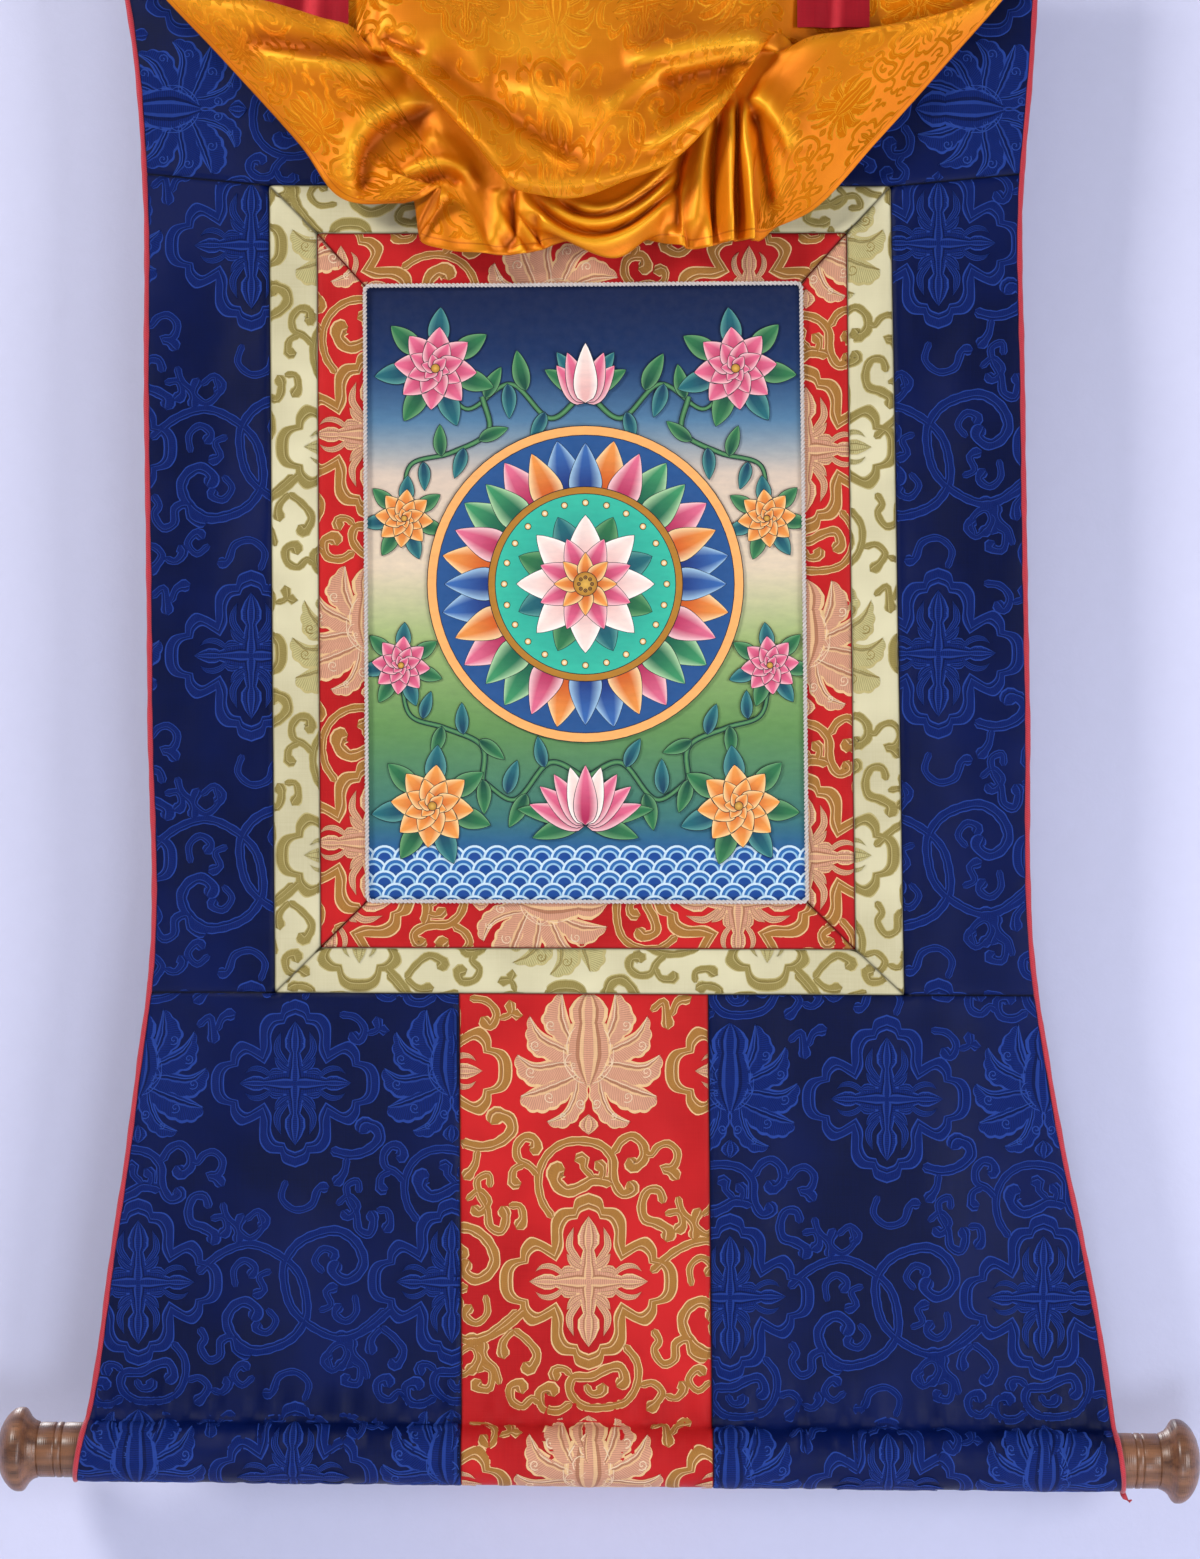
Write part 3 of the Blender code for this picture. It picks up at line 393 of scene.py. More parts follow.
# The lotus's middle petals, which stand on its axis.
LOTUS_HEART = (
    ((22, 30, 32, 22, 6), (0, -26), (0, -14), (0, -4), (0, 5), (0, 13)),
    ((14, 24, 25, 17, 0), (0, -22), (0, -29), (0, -36), (0, -42), (0, -47)),
    ((0, 9, 11, 8, 0), (0, -12), (0, -17), (0, -22), (0, -27), (0, -32)),
    ((0, 11, 13, 0), (0, 32), (0, 36), (0, 40), (0, 45)),
)
# Drawn lines of the lotus, one side: each from start to end as x, y.
LOTUS_LINES = (
    ((6, -27), (8, -34), (5, -40), (0, -43)),
    ((0, -31), (5, -26), (5.5, -20), (0, -16)),
    ((0, -9), (5, -4), (5.5, 1), (0, 7)),
    ((0, -16), (6, -17), (10, -13), (8, -7)),
    ((8, -7), (13, -6), (15, -1), (10, 5)),
    ((0, 7), (5, 9), (9, 6), (11, 1)),
    ((8, -24), (12, -19), (14, -12), (13, -7)),
    ((0, 13), (8, 10), (15, 1), (16, -9)),
    ((0, -28), (0, -17)),
    ((0, -24), (3.5, -26)),
    ((0, -20), (4, -22)),
    ((0, -6), (0, 5)),
    ((0, -2), (3.5, -4)),
    ((0, 2), (4, 0)),
)
# Curls inside the petals of one side: x, y, radius.
LOTUS_CURLS = (
    (24, -25, 3.6), (34, -12, 3.6), (37, 5, 3.8), (25, 21, 3.8), (5, 25, 3.4), (16, 33, 2.6),
    (6.5, -12, 2.2), (9.5, 0.5, 2.2),
)

# Scrolls round a lotus: width, then the middle line's points as x, y from the lotus.
LOTUS_SCROLLS = (
    (5.5, (-23, 98), (-30, 87), (-32, 72), (-27, 59), (-17, 51), (-5, 49), (8, 52), (15, 60),
     (16, 74), (22, 83), (28, 80), (25, 75)),
    (7.5, (15, 76), (3, 74), (-4, 78), (-14, 81), (-21, 75), (-20, 68), (-15, 67)),
    (5.0, (3, 72), (-3, 66), (-3, 60), (-9, 62)),
    (5.0, (8, 74), (9, 67), (4, 62)),
    (5.5, (-32, 71), (-38, 65), (-45, 61), (-46, 53), (-41, 47), (-35, 48), (-34, 54), (-38, 55)),
    (5.0, (-41, 64), (-48, 68), (-48, 76), (-43, 76)),
    (6.0, (16, 57), (21, 49), (28, 46), (35, 52), (35, 61), (29, 65), (25, 60)),
    (5.0, (35, 56), (40, 58), (44, 53), (51, 51), (57, 57), (54, 66), (48, 67), (53, 69), (58, 74)),
    (7.0, (-82, 50), (-69, 53), (-57, 50), (-49, 42), (-51, 35), (-59, 33), (-62, 39)),
    (5.0, (-71, 55), (-73, 65), (-80, 74)),
    (5.0, (-63, 79), (-64, 71), (-71, 74), (-70, 83), (-65, 93), (-63, 104), (-56, 107),
     (-53, 98), (-56, 91)),
    (5.0, (-51, 91), (-44, 91), (-42, 99), (-46, 106)),
    (6.0, (48, 89), (45, 81), (38, 81), (34, 90), (36, 99), (44, 102), (51, 107), (50, 114)),
    (5.0, (49, 96), (58, 95), (60, 103), (55, 108)),
    (5.0, (-76, -42), (-65, -40), (-59, -32), (-63, -24), (-69, -30)),
    (4.5, (-57, -29), (-50, -32), (-51, -41)),
    (4.5, (-50, -32), (-42, -31)),
    (5.0, (40, -34), (48, -40), (50, -31), (51, -22)),
    (5.0, (53, -31), (57, -40), (66, -43)),
)

# Scrolls round a frame: width, then the middle line's points as x, y from the frame's middle.
FRAME_SCROLLS = (
    (5.5, (23, 41), (31, 52), (31, 66), (24, 77), (9, 81), (-5, 79), (-12, 70), (-10, 62),
     (2, 61), (12, 56), (20, 55), (23, 63), (18, 68)),
    (5.0, (-2, 66), (2, 72), (8, 71), (9, 65)),
    (5.0, (-11, 60), (-16, 56), (-22, 57), (-20, 64)),
    (6.0, (-11, 78), (-20, 83), (-29, 81), (-31, 71), (-24, 69), (-22, 74)),
    (5.5, (-31, 78), (-36, 75), (-42, 80), (-49, 77), (-50, 68), (-44, 66), (-42, 72)),
    (5.0, (33, 67), (41, 65), (47, 71), (43, 78), (37, 83)),
    (5.0, (49, 73), (56, 75), (61, 69), (58, 64)),
    (6.0, (-45, 19), (-55, 28), (-66, 36), (-80, 39)),
    (5.0, (-48, 31), (-55, 40), (-54, 50)),
    (5.5, (-48, 31), (-39, 38), (-33, 47), (-38, 56), (-42, 52)),
    (5.0, (-73, 41), (-71, 50), (-78, 60)),
    (5.0, (-68, 54), (-62, 58), (-64, 69), (-72, 67), (-69, 63)),
    (5.5, (41, 31), (45, 38), (42, 44), (48, 53), (55, 50), (56, 40), (64, 37), (67, 46), (77, 49)),
)

# One quarter of the eight-lobed frame: outer x and y, inner x and y. A lobe ends at a row that
# starts with "notch".
FRAME_QUARTER = (
    ("", 57.3, 0, 48.3, 0),
    ("", 56.6, 6.5, 47.6, 6.3),
    ("", 52.5, 12.8, 44.6, 9.8),
    ("notch", 43.8, 15.2, 38.6, 11.5),
    ("", 43.4, 21.5, 37.4, 16.4),
    ("", 37.5, 28.4, 32.5, 19.8),
    ("", 30.0, 26.4, 26.0, 16.4),
    ("notch", 23.6, 23.0, 20.6, 12.9),
    ("", 24.2, 32.0, 16.0, 21.5),
    ("", 23.6, 40.5, 16.2, 32.0),
    ("", 18.5, 46.6, 12.8, 38.8),
    ("notch", 10.0, 47.6, 7.2, 40.2),
    ("", 8.2, 53.5, 5.4, 44.0),
    ("", 0, 57.0, 0, 46.4),
)

# The crossed sceptres in a frame, one quarter: widths at the points, then the points as x, y.
SCEPTRE_ON_AXES = (
    ((15, 11, 9, 6), (0, 6), (0, 12), (0, 17), (0, 22)),
    ((5, 13.5, 14, 9, 0), (0, 19), (0, 24), (0, 29), (0, 35), (0, 42)),
    ((15, 18, 13, 7), (0, 0), (7, 0), (13, 0), (21, 0)),
    ((4, 10, 10, 6, 0), (19, 0), (23, 0), (28, 0), (33, 0), (38, 0)),
    ((11, 16, 14, 9), (0, 0), (0, 4), (0, 8), (0, 13)),
)
SCEPTRE_PRONGS = (
    ((2.5, 4.6, 4.8, 4, 0), (5, 13), (9, 17), (12, 22), (12, 27), (9.5, 35)),
    ((2, 3.6, 3.8, 2.6, 0), (16, 4), (20, 8), (25, 10), (30, 9.5), (34, 6.5)),
    ((3, 6, 5, 0), (4, 9), (8, 11), (11, 14), (14, 18)),
    ((3, 6, 6, 0), (8, 7), (12, 7.5), (15, 7), (19, 5)),
)
# Lines drawn on the sceptres, one quarter.
SCEPTRE_LINES = (
    ((-6, 26), (3, 36)),
    ((-4, 22), (6, 31)),
    ((23, 0), (26, 4)),
    ((27, 0), (30, 3.6)),
    ((31, 0), (33.5, 2.4)),
    ((4, 3), (8, 4.5), (11, 2), (8, 0), (5, 0)),
)
SCEPTRE_BEADS = ((0, 6.2, 3.4, 9), (13.5, 0, 6, 3.4), (13, 6.5, 3.6, 3.6))

# The two linked spirals beside a frame, and the small scrolls in and round them. Each row is drawn
# again turned by half a turn.
SPIRAL_SCROLLS = (
    (6.0, (-66, -12), (-49, -26), (-30, -32), (-12, -25), (2, -12), (7, 4), (7, 18), (-1, 31),
     (-14, 38), (-29, 40), (-41, 32), (-46, 19), (-41, 10), (-33, 7), (-26, 13), (-29, 20)),
    (4.5, (-40, -3), (-41, -15), (-34, -21), (-27, -16), (-31, -9)),
    (4.5, (-16, -14), (-24, -10), (-21, -1), (-29, 3)),
    (4.5, (-19, 12), (-13, 20), (-19, 28), (-26, 25), (-24, 20)),
    (4.5, (-6, -75), (-9, -63), (0, -55), (11, -58), (16, -69), (23, -70)),
    (4.5, (28, -58), (36, -64), (42, -57), (36, -50), (31, -54)),
    (5.0, (-49, -60), (-46, -50), (-39, -43), (-38, -32)),
    (4.5, (-33, -48), (-25, -54), (-19, -48), (-25, -42)),
    (4.5, (24, 54), (22, 43), (30, 36), (38, 42), (35, 53)),
)

# The brocade cloths: width and length of the flat cut, then how the repeat lies in it: x and drop of
# a lotus, scale, and the quarter turn, which is 0 for upright, 1 with the lotus's foot to the right
# and -1 with its foot to the left.
CLOTH_ROWS = {
    "top_panel": (590, 173, -260, 124, 0.945, 1),
    "side_strip_left": (78, 522, -112.5, 207, 0.965, 0),
    "side_strip_right": (82, 522, 122.5, 205.5, 0.965, 0),
    "bottom_panel_left": (226, 395, -86.5, 743, 0.945, 0),
    "bottom_panel_right": (243, 395, 91.5, 753, 0.945, 0),
    "door_panel": (160, 397, 1, 735, 1.0, 0),
    "yellow_frame_top": (398, 31, -18, 248, 0.96, -1),
    "yellow_frame_right": (31, 517, 145.5, 468, 0.96, 0),
    "yellow_frame_bottom": (403, 29, -18, 634, 0.96, 1),
    "yellow_frame_left": (31, 517, -144.5, 468, 0.96, 0),
    "red_frame_top": (339, 33, -24, 248, 0.96, -1),
    "red_frame_right": (31, 459, 140, 469.5, 0.96, 0),
    "red_frame_bottom": (343, 30, -31, 631, 0.96, -1),
    "red_frame_left": (31, 457, -138.5, 460, 0.96, 0),
}
# How far apart the points of a brocade cloth lie, and where those next to its edge lie.
PANEL_STEP = 3.7
HEM_PLACES = np.array((0.0, 0.6, 1.4, 2.6, 4.5))
# The figure ends this far from the edge of its cloth, and faces smaller than this are left out.
FIGURE_INSET = 0.5
LEAST_AREA = 0.05
BULB_SHARE = 0.88
SCROLL_SWELL = 1.25
SCROLL_RIPPLE = 0.07
SCROLL_RIPPLE_PITCH = 8.5
BAND_POINTS = 5
# How far apart the points lie along a scroll or band, a drawn line, a curl, a petal's frilled edge,
# other edges, a part of a sceptre and a bead, and how many a lobe has for each point of its row.
BAND_STEP, LINE_STEP, CURL_STEP, FRILL_STEP = 2.2, 2.6, 1.5, 1.6
EDGE_STEP, SCEPTRE_STEP, BEAD_STEP = 1.0, 1.8, 1.2
LOBE_POINTS = 3
FIGURE_LOW, FIGURE_HIGH = 0.03, 0.48
LINE_WIDTH = 1.1
FIGURE_ORDER_LIFT = 0.0025
TWIN_LIFT = 0.3
CURL_KIND, PETAL_KIND, VEIN_KIND = 0.0, 0.5, 1.0


# ---- curves and small sums
def tone(red, green, blue):
    """A colour as seen, from 0 to 255, as the light values that a shader takes."""
    linear = []
    for seen in (red, green, blue):
        share = seen / 255
        linear.append(share / 12.92 if share < 0.04045 else ((share + 0.055) / 1.055) ** 2.4)
    return (*linear, 1.0)


def curve(knots, values, t):
    """Smooth curves through rows of values at the knots, read at each t."""
    knots = np.asarray(knots, float)
    values = np.asarray(values, float).reshape(len(knots), -1)
    t = np.asarray(t, float).ravel()
    steps = np.diff(knots)
    rises = np.diff(values, axis=0) / steps[:, None]
    before, after = steps[:-1, None], steps[1:, None]
    inner = (rises[:-1] * after + rises[1:] * before) / (before + after)
    slopes = np.vstack((rises[:1], inner, rises[-1:]))
    k = np.searchsorted(knots[1:-1], t, side="left")
    h = steps[k][:, None]
    u = (t[:, None] - knots[k][:, None]) / h
    start = values[k] * (2 * u**3 - 3 * u**2 + 1) + slopes[k] * h * (u**3 - 2 * u**2 + u)
    return start + values[k + 1] * (3 * u**2 - 2 * u**3) + slopes[k + 1] * h * (u**3 - u**2)


def smooth_step(t):
    t = np.clip(t, 0.0, 1.0)
    return t * t * (3 - 2 * t)


def mix(a, b, t):
    return a + (b - a) * t


def bump(distance, width):
    return np.exp(-((distance / width) ** 2))


def unit(vectors):
    return vectors / np.maximum(np.linalg.norm(vectors, axis=-1, keepdims=True), 1e-9)


def lengths_along(line):
    """The length of a line up to each of its points."""
    return np.concatenate(((0,), np.cumsum(np.linalg.norm(np.diff(line, axis=0), axis=1))))


def knots_along(line):
    """A knot for each point of a line, as far from the last one as the root of their distance."""
    return np.concatenate(((0,), np.cumsum(np.sqrt(np.linalg.norm(np.diff(line, axis=0), axis=1)))))


def spline(points, step):
    """A smooth line through points, with a new point about every step."""
    points = np.asarray(points, float)
    knots = knots_along(points)
    count = max(3, int(lengths_along(points)[-1] * 1.05 / step))
    return curve(knots, points, np.linspace(0, knots[-1], count))


def even_points(line, count):
    """A number of points along a line, shared out evenly over its own points."""
    pick = np.linspace(0, len(line) - 1, count)
    base = pick.astype(int).clip(0, len(line) - 2)
    return line[base] + (line[base + 1] - line[base]) * (pick - base)[:, None]


def half_widths(widths, count):
    """Half of a band's widths, shared out over a number of points."""
    return np.interp(np.linspace(0, 1, count), np.linspace(0, 1, len(widths)), widths) / 2


def square_to(line, *spacing):
    """The unit direction on the left hand of a flat line at each of its points."""
    along = unit(np.gradient(line, *spacing, axis=0))
    return np.stack((-along[:, 1], along[:, 0]), axis=1)


def places_round(x, y, turn, reach):
    """Places round a middle, at each turn and each reach."""
    return np.stack((x + np.cos(turn)[:, None] * reach, y + np.sin(turn)[:, None] * reach), axis=-1)


# ---- the hung cloth's surface
def edge_x(drop):
    """The left and right cut edges of the body at each drop."""
    rows = np.asarray(EDGE_ROWS, float)
    read = curve(rows[:, 0], rows[:, 1:], np.clip(drop, 0, rows[-1, 0]))
    return read[:, 0].reshape(np.shape(drop)), read[:, 1].reshape(np.shape(drop))


def rod_drop(x):
    return ROD_AXIS_DROP + ROD_TILT * x


def side_of(corner_a, corner_b):
    (xa, drop_a), (xb, drop_b) = corner_a, corner_b
    return lambda s: mix(xa, xb, (s - drop_a) / (drop_b - drop_a))


def level_of(corner_a, corner_b):
    (xa, drop_a), (xb, drop_b) = corner_a, corner_b
    return lambda x: mix(drop_a, drop_b, (x - xa) / (xb - xa))


def top_seam(x):
    """The seam below the top panel, which dips to the frame's top edge."""
    (left_x, left_drop), (right_x, right_drop) = OUTER_FRAME[0], OUTER_FRAME[1]
    edges = edge_x(np.array(TOP_SEAM_AT_EDGE))
    places = (float(edges[0]), left_x, right_x, float(edges[1]))
    return np.interp(x, places, (TOP_SEAM_AT_EDGE, left_drop, right_drop, TOP_SEAM_AT_EDGE))


def make_casing_line():
    """The casing's way round the roller: length along it, ahead, height, and its outer normal."""
    reach = math.hypot(FLAP_BEHIND, FLAP_END)
    end = math.atan2(FLAP_BEHIND, FLAP_END) + math.acos(CASING_RADIUS / reach)
    turn = np.linspace(CASING_TURN_START, math.tau - end, 90)
    round_rod = np.stack((np.sin(turn), np.cos(turn)), axis=1) * CASING_RADIUS
    shoulder = spline(CASING_SHOULDER + tuple(map(tuple, round_rod[:2])), 0.6)[:-3]
    flap = np.linspace(round_rod[-1], (-FLAP_BEHIND, FLAP_END), 8)[1:]
    line = np.vstack((shoulder, round_rod[1:], flap))
    length = lengths_along(line)
    return length, line, square_to(line, length)


CASING_LENGTH, CASING_LINE, CASING_NORMAL = make_casing_line()
STITCH_ALONG = float(CASING_LENGTH[STITCH_POINT])


def casing_at(past):
    """Ahead, height above the roller's axis and normal at lengths past the casing's start."""
    parts = (CASING_LINE[:, 0], CASING_LINE[:, 1], CASING_NORMAL[:, 0], CASING_NORMAL[:, 1])
    return [np.interp(past, CASING_LENGTH, part) for part in parts]


def real_drop(x, s):
    """The drop of cloth at a length s."""
    past = s - rod_drop(x) + CASING_START
    return np.where(past > 0, rod_drop(x) - casing_at(past)[1], s)


def casing_end(x):
    return rod_drop(x) - CASING_START + CASING_LENGTH[-1]


def body_edge(side):
    """The body's left or right cut edge, 0 or 1, as x at a length of its cloth."""
    return lambda s: edge_x(real_drop(EDGE_ROWS[-1][side + 1], s))[side]


def door_edge(side):
    """The door panel's left or right seam, 0 or 1, in the same way."""
    line = side_of((DOOR_TOP_X[side], DOOR_TOP), (DOOR_FOOT_X[side], DOOR_FOOT))
    return lambda s: line(real_drop(DOOR_FOOT_X[side], s))


left_edge, right_edge = body_edge(0), body_edge(1)
door_left, door_right = door_edge(0), door_edge(1)
FRAME_LEFT = side_of(OUTER_FRAME[0], OUTER_FRAME[3])
FRAME_RIGHT = side_of(OUTER_FRAME[1], OUTER_FRAME[2])
LOW_SEAM = level_of(OUTER_FRAME[3], OUTER_FRAME[2])


def seam_lines():
    """All sewn seams of the front, each as the x and drop of its two ends."""
    lines = []
    for ring in (OUTER_FRAME, MIDDLE_FRAME):
        lines += [(ring[k], ring[(k + 1) % 4]) for k in range(4)]
    for outer, middle, inner in zip(OUTER_FRAME, MIDDLE_FRAME, INNER_FRAME):
        lines += [(outer, middle), (middle, inner)]
    edges = edge_x(np.array((TOP_SEAM_AT_EDGE, DOOR_TOP)))
    lines.append(((edges[0][0], TOP_SEAM_AT_EDGE), OUTER_FRAME[0]))
    lines.append((OUTER_FRAME[1], (edges[1][0], TOP_SEAM_AT_EDGE)))
    lines.append(((edges[0][1], LOW_SEAM(edges[0][1])), OUTER_FRAME[3]))
    lines.append((OUTER_FRAME[2], (edges[1][1], LOW_SEAM(edges[1][1]))))
    lines.append(((DOOR_TOP_X[0], DOOR_TOP), (DOOR_FOOT_X[0], DOOR_FOOT)))
    lines.append(((DOOR_TOP_X[1], DOOR_TOP), (DOOR_FOOT_X[1], DOOR_FOOT)))
    return lines


SEAMS = seam_lines()


def beside_seams(x, s, reach):
    """For each seam, which places lie within reach, and their distances from it and along it."""
    for (xa, drop_a), (xb, drop_b) in SEAMS:
        length = math.hypot(xb - xa, drop_b - drop_a)
        ux, us = (xb - xa) / length, (drop_b - drop_a) / length
        along = (x - xa) * ux + (s - drop_a) * us
        within = np.clip(along, 0, length)
        away = np.hypot(x - xa - ux * within, s - drop_a - us * within)
        near = away < reach
        yield near, away[near], along[near]


def seam_relief(x, s):
    """How the cloth dips into its seams, puffs beside them and puckers along them."""
    shift = np.zeros_like(x)
    for near, away, along in beside_seams(x, s, SEAM_PUFF_AT * 4):
        stray = SEAM_STRAY * np.sin(along / SEAM_STRAY_LENGTH)
        pucker = np.sin(along * math.tau / SEAM_PUCKER_PITCH + stray)
        puff = bump(away - SEAM_PUFF_AT, SEAM_PUFF_WIDTH) * (SEAM_PUFF + SEAM_PUCKER * pucker)
        shift[near] += puff - SEAM_DIP * bump(away, SEAM_DIP_WIDTH)
    return shift


def seam_shade(x, s):
    """How dark the line of a seam is at places on the cloth, from 0 to 1."""
    shade = np.zeros_like(x)
    for near, away, _ in beside_seams(x, s, SEAM_LINE_WIDTH):
        shade[near] = np.maximum(shade[near], 1 - away / SEAM_LINE_WIDTH)
    return shade


def casing_relief(x, s):
    """Stitch line and puckers of the casing."""
    along = s - rod_drop(x) + CASING_START - STITCH_ALONG
    ridges = np.zeros_like(x)
    for pitch, phase, height in CASING_PUCKERS:
        stray = PUCKER_STRAY * np.sin(x / PUCKER_STRAY_LENGTH + phase)
        ridges += height * np.sin(x * math.tau / pitch + phase + stray)
    fade = np.where(along < 0, bump(along, PUCKER_ABOVE), bump(along - 3, PUCKER_BELOW))
    fade *= 1 - STITCH_HOLD * bump(along, STITCH_DIP_WIDTH)
    ridges = mix(ridges, np.abs(ridges) * RIDGE_GAIN, smooth_step(along / RIDGES_FROM))
    above, width, ahead = CASING_FOLD
    from_fold = along + above + FOLD_STRAY * np.sin(x / FOLD_STRAY_LENGTH)
    ridges += ahead * bump(from_fold, width) * (1 + FOLD_SWELL * np.sin(x / FOLD_SWELL_LENGTH))
    return ridges * fade - STITCH_DIP * bump(along, STITCH_DIP_WIDTH)


def relief(x, s):
    """How far the cloth hangs in front of its flat plane."""
    ahead = np.zeros_like(x)
    for middle_x, middle_drop, half_width, half_height, height in BODY_BULGES:
        away = ((x - middle_x) / half_width) ** 2 + ((s - middle_drop) / half_height) ** 2
        ahead += height * np.exp(-away)
    left, right = edge_x(s)
    for inset in (x - left, right - x):
        ahead += EDGE_CURL * bump(inset, EDGE_CURL_WIDTH)
    for across, down, phase, height in CLOTH_WAVES:
        ahead += height * np.sin(x * math.tau / across + phase + np.sin(s * math.tau / down + phase))
    above_casing = rod_drop(x) - CASING_BEND - s
    settled = smooth_step((s - FLAT_BELOW_TOP) / FLAT_ABOVE_CASING)
    ahead *= settled * smooth_step(above_casing / FLAT_ABOVE_CASING)
    return ahead + seam_relief(x, s) + casing_relief(x, s)


def hang(x, s, lift):
    """Points of the hung cloth, each lift ahead of its middle surface."""
    x, s = np.asarray(x, float), np.asarray(s, float)
    past = s - rod_drop(x) + CASING_START
    ahead, height, normal_ahead, normal_up = casing_at(np.maximum(past, 0.0))
    on_flat = past <= 0
    normal_ahead = np.where(on_flat, 1.0, normal_ahead)
    normal_up = np.where(on_flat, 0.0, normal_up)
    drop = np.where(on_flat, s, rod_drop(x) - height)
    out = relief(x, s) + lift
    return np.stack((x, -(ahead * ~on_flat + out * normal_ahead), -drop + out * normal_up), axis=-1)


# ---- meshes
def add_mesh(name, points, quads, uvs=None, tones=None, materials=(), picks=None):
    """A piece from points in millimetres and four-sided faces, with values for each point."""
    points, quads = np.asarray(points, float), np.asarray(quads, int)
    mesh = bpy.data.meshes.new(name)
    mesh.vertices.add(len(points))
    mesh.vertices.foreach_set("co", (points * MM).ravel())
    mesh.loops.add(quads.size)
    mesh.loops.foreach_set("vertex_index", quads.ravel())
    mesh.polygons.add(len(quads))
    mesh.polygons.foreach_set("loop_start", np.arange(0, quads.size, 4))
    if picks is not None:
        mesh.polygons.foreach_set("material_index", np.asarray(picks, int))
    mesh.update(calc_edges=True)
    for label, values in (uvs or {}).items():
        layer = mesh.uv_layers.new(name=label)
        layer.uv.foreach_set("vector", np.asarray(values, float)[quads.ravel()].ravel())
    for label, values in (tones or {}).items():
        layer = mesh.attributes.new(label, "FLOAT_COLOR", "POINT")
        layer.data.foreach_set("color", np.asarray(values, float).ravel())
    for material in materials:
        mesh.materials.append(material)
    mesh.validate()
    mesh.shade_smooth()
    piece = bpy.data.objects.new(name, mesh)
    bpy.context.scene.collection.objects.link(piece)
    return piece


def grid_quads(rows, columns, flip=False):
    """Faces of a grid of points that runs left to right, top to bottom, seen from the front."""
    j, i = np.meshgrid(np.arange(rows - 1), np.arange(columns - 1), indexing="ij")
    a = (j * columns + i).ravel()
    quads = np.stack((a, a + columns, a + columns + 1, a + 1), axis=1)
    return quads[:, ::-1] if flip else quads


def facing_front(places, quads):
    """Faces in the order in which most of them look to the front, from their places as x, drop."""
    a, b, c = (places[quads[:, k]] for k in range(3))
    area = (b - a)[:, 0] * (c - a)[:, 1] - (b - a)[:, 1] * (c - a)[:, 0]
    return quads[:, ::-1] if area.sum() > 0 else quads


NO_SHADE = (0.0, 0.0, 1.0, 1.0)
RIM_ANGLE = math.radians(60)
KNOB_EDGE_ANGLE = math.radians(50)


def closed_sheet(name, front, back, cloth_uv, materials, shade=None, sharp_rim=True):
    """A closed sheet between two grids of points. The back takes the second material. Its shade
    is a grid of three values: how dark, for a seam's line or the painted shade in a fold's hollow,
    how bright, for the painted highlight on a fold's ridge, and how far from a hem."""
    rows, columns = front.shape[:2]
    count = rows * columns
    rim = np.concatenate((
        np.arange(columns),
        np.arange(1, rows) * columns + columns - 1,
        (rows - 1) * columns + np.arange(columns - 2, -1, -1),
        np.arange(rows - 2, 0, -1) * columns,
    ))
    nxt = np.roll(rim, -1)
    edge = np.stack((rim, nxt, count + nxt, count + rim), axis=1)
    face = grid_quads(rows, columns)
    quads = np.vstack((face, grid_quads(rows, columns, True) + count, edge))
    picks = np.zeros(len(quads), int)
    picks[len(face):2 * len(face)] = 1
    points = np.vstack((front.reshape(-1, 3), back.reshape(-1, 3)))
    uv = np.vstack((cloth_uv.reshape(-1, 2), cloth_uv.reshape(-1, 2)))
    tones = np.tile(NO_SHADE, (2 * count, 1))
    if shade is not None:
        tones[:, :3] = np.tile(shade.reshape(-1, 3), (2, 1))
    piece = add_mesh(name, points, quads, {"Cloth": uv * MM}, {"Shade": tones}, materials, picks)
    if sharp_rim:
        piece.data.set_sharp_from_angle(angle=RIM_ANGLE)
    return piece


def dress(piece, node=None):
    """Hangs a piece on the root body and hides the part of the model that it stands for."""
    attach(piece, "root")
    if node:
        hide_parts(node)
    return piece


# ---- panels
# How often a place is set to and fro between a panel's sides and its ends, until it lies still.
SETTLE_ROUNDS, CLIP_ROUNDS = 8, 3


class Panel:
    """A cut of cloth between left and right lines, as functions of s, and top and bottom ones,
    as functions of x."""

    def __init__(self, left, right, top, bottom):
        self.left, self.right, self.top, self.bottom = left, right, top, bottom

    def settle(self, across, down):
        """x and s at shares across and down the cloth."""
        x = across * 0.0
        for _ in range(SETTLE_ROUNDS):
            s = mix(self.top(x), self.bottom(x), down)
            x = mix(self.left(s), self.right(s), across)
        return x, s

    def clip(self, x, s, inset):
        for _ in range(CLIP_ROUNDS):
            x = np.clip(x, self.left(s) + inset, self.right(s) - inset)
            s = np.clip(s, self.top(x) + inset, self.bottom(x) - inset)
        return x, s

    def box(self):
        share = np.array((0.0, 0.5, 1.0))
        x, s = self.settle(np.tile(share, 3), np.repeat(share, 3))
        return x.min(), x.max(), s.min(), s.max()


def shares(length, step):
    """Shares along a length, about a step apart and closer together at its two ends."""
    hem = HEM_PLACES[-1]
    inner = np.linspace(hem, length - hem, max(2, int((length - 2 * hem) / step) + 1))
    return np.concatenate((HEM_PLACES, inner[1:-1], length - HEM_PLACES[::-1])) / length


def cornered(left_top, right_top, right_foot, left_foot):
    """A panel between four corners."""
    return Panel(side_of(left_top, left_foot), side_of(right_top, right_foot),
                 level_of(left_top, right_top), level_of(left_foot, right_foot))


def strip(outer, inner, side):
    """The mitred strip on one side between two outlines: 0 top, 1 right, 2 bottom, 3 left."""
    after = (side + 1) % 4
    corners = [outer[side], outer[after], inner[after], inner[side]]
    return cornered(*corners[-side:], *corners[:-side]) if side else cornered(*corners)


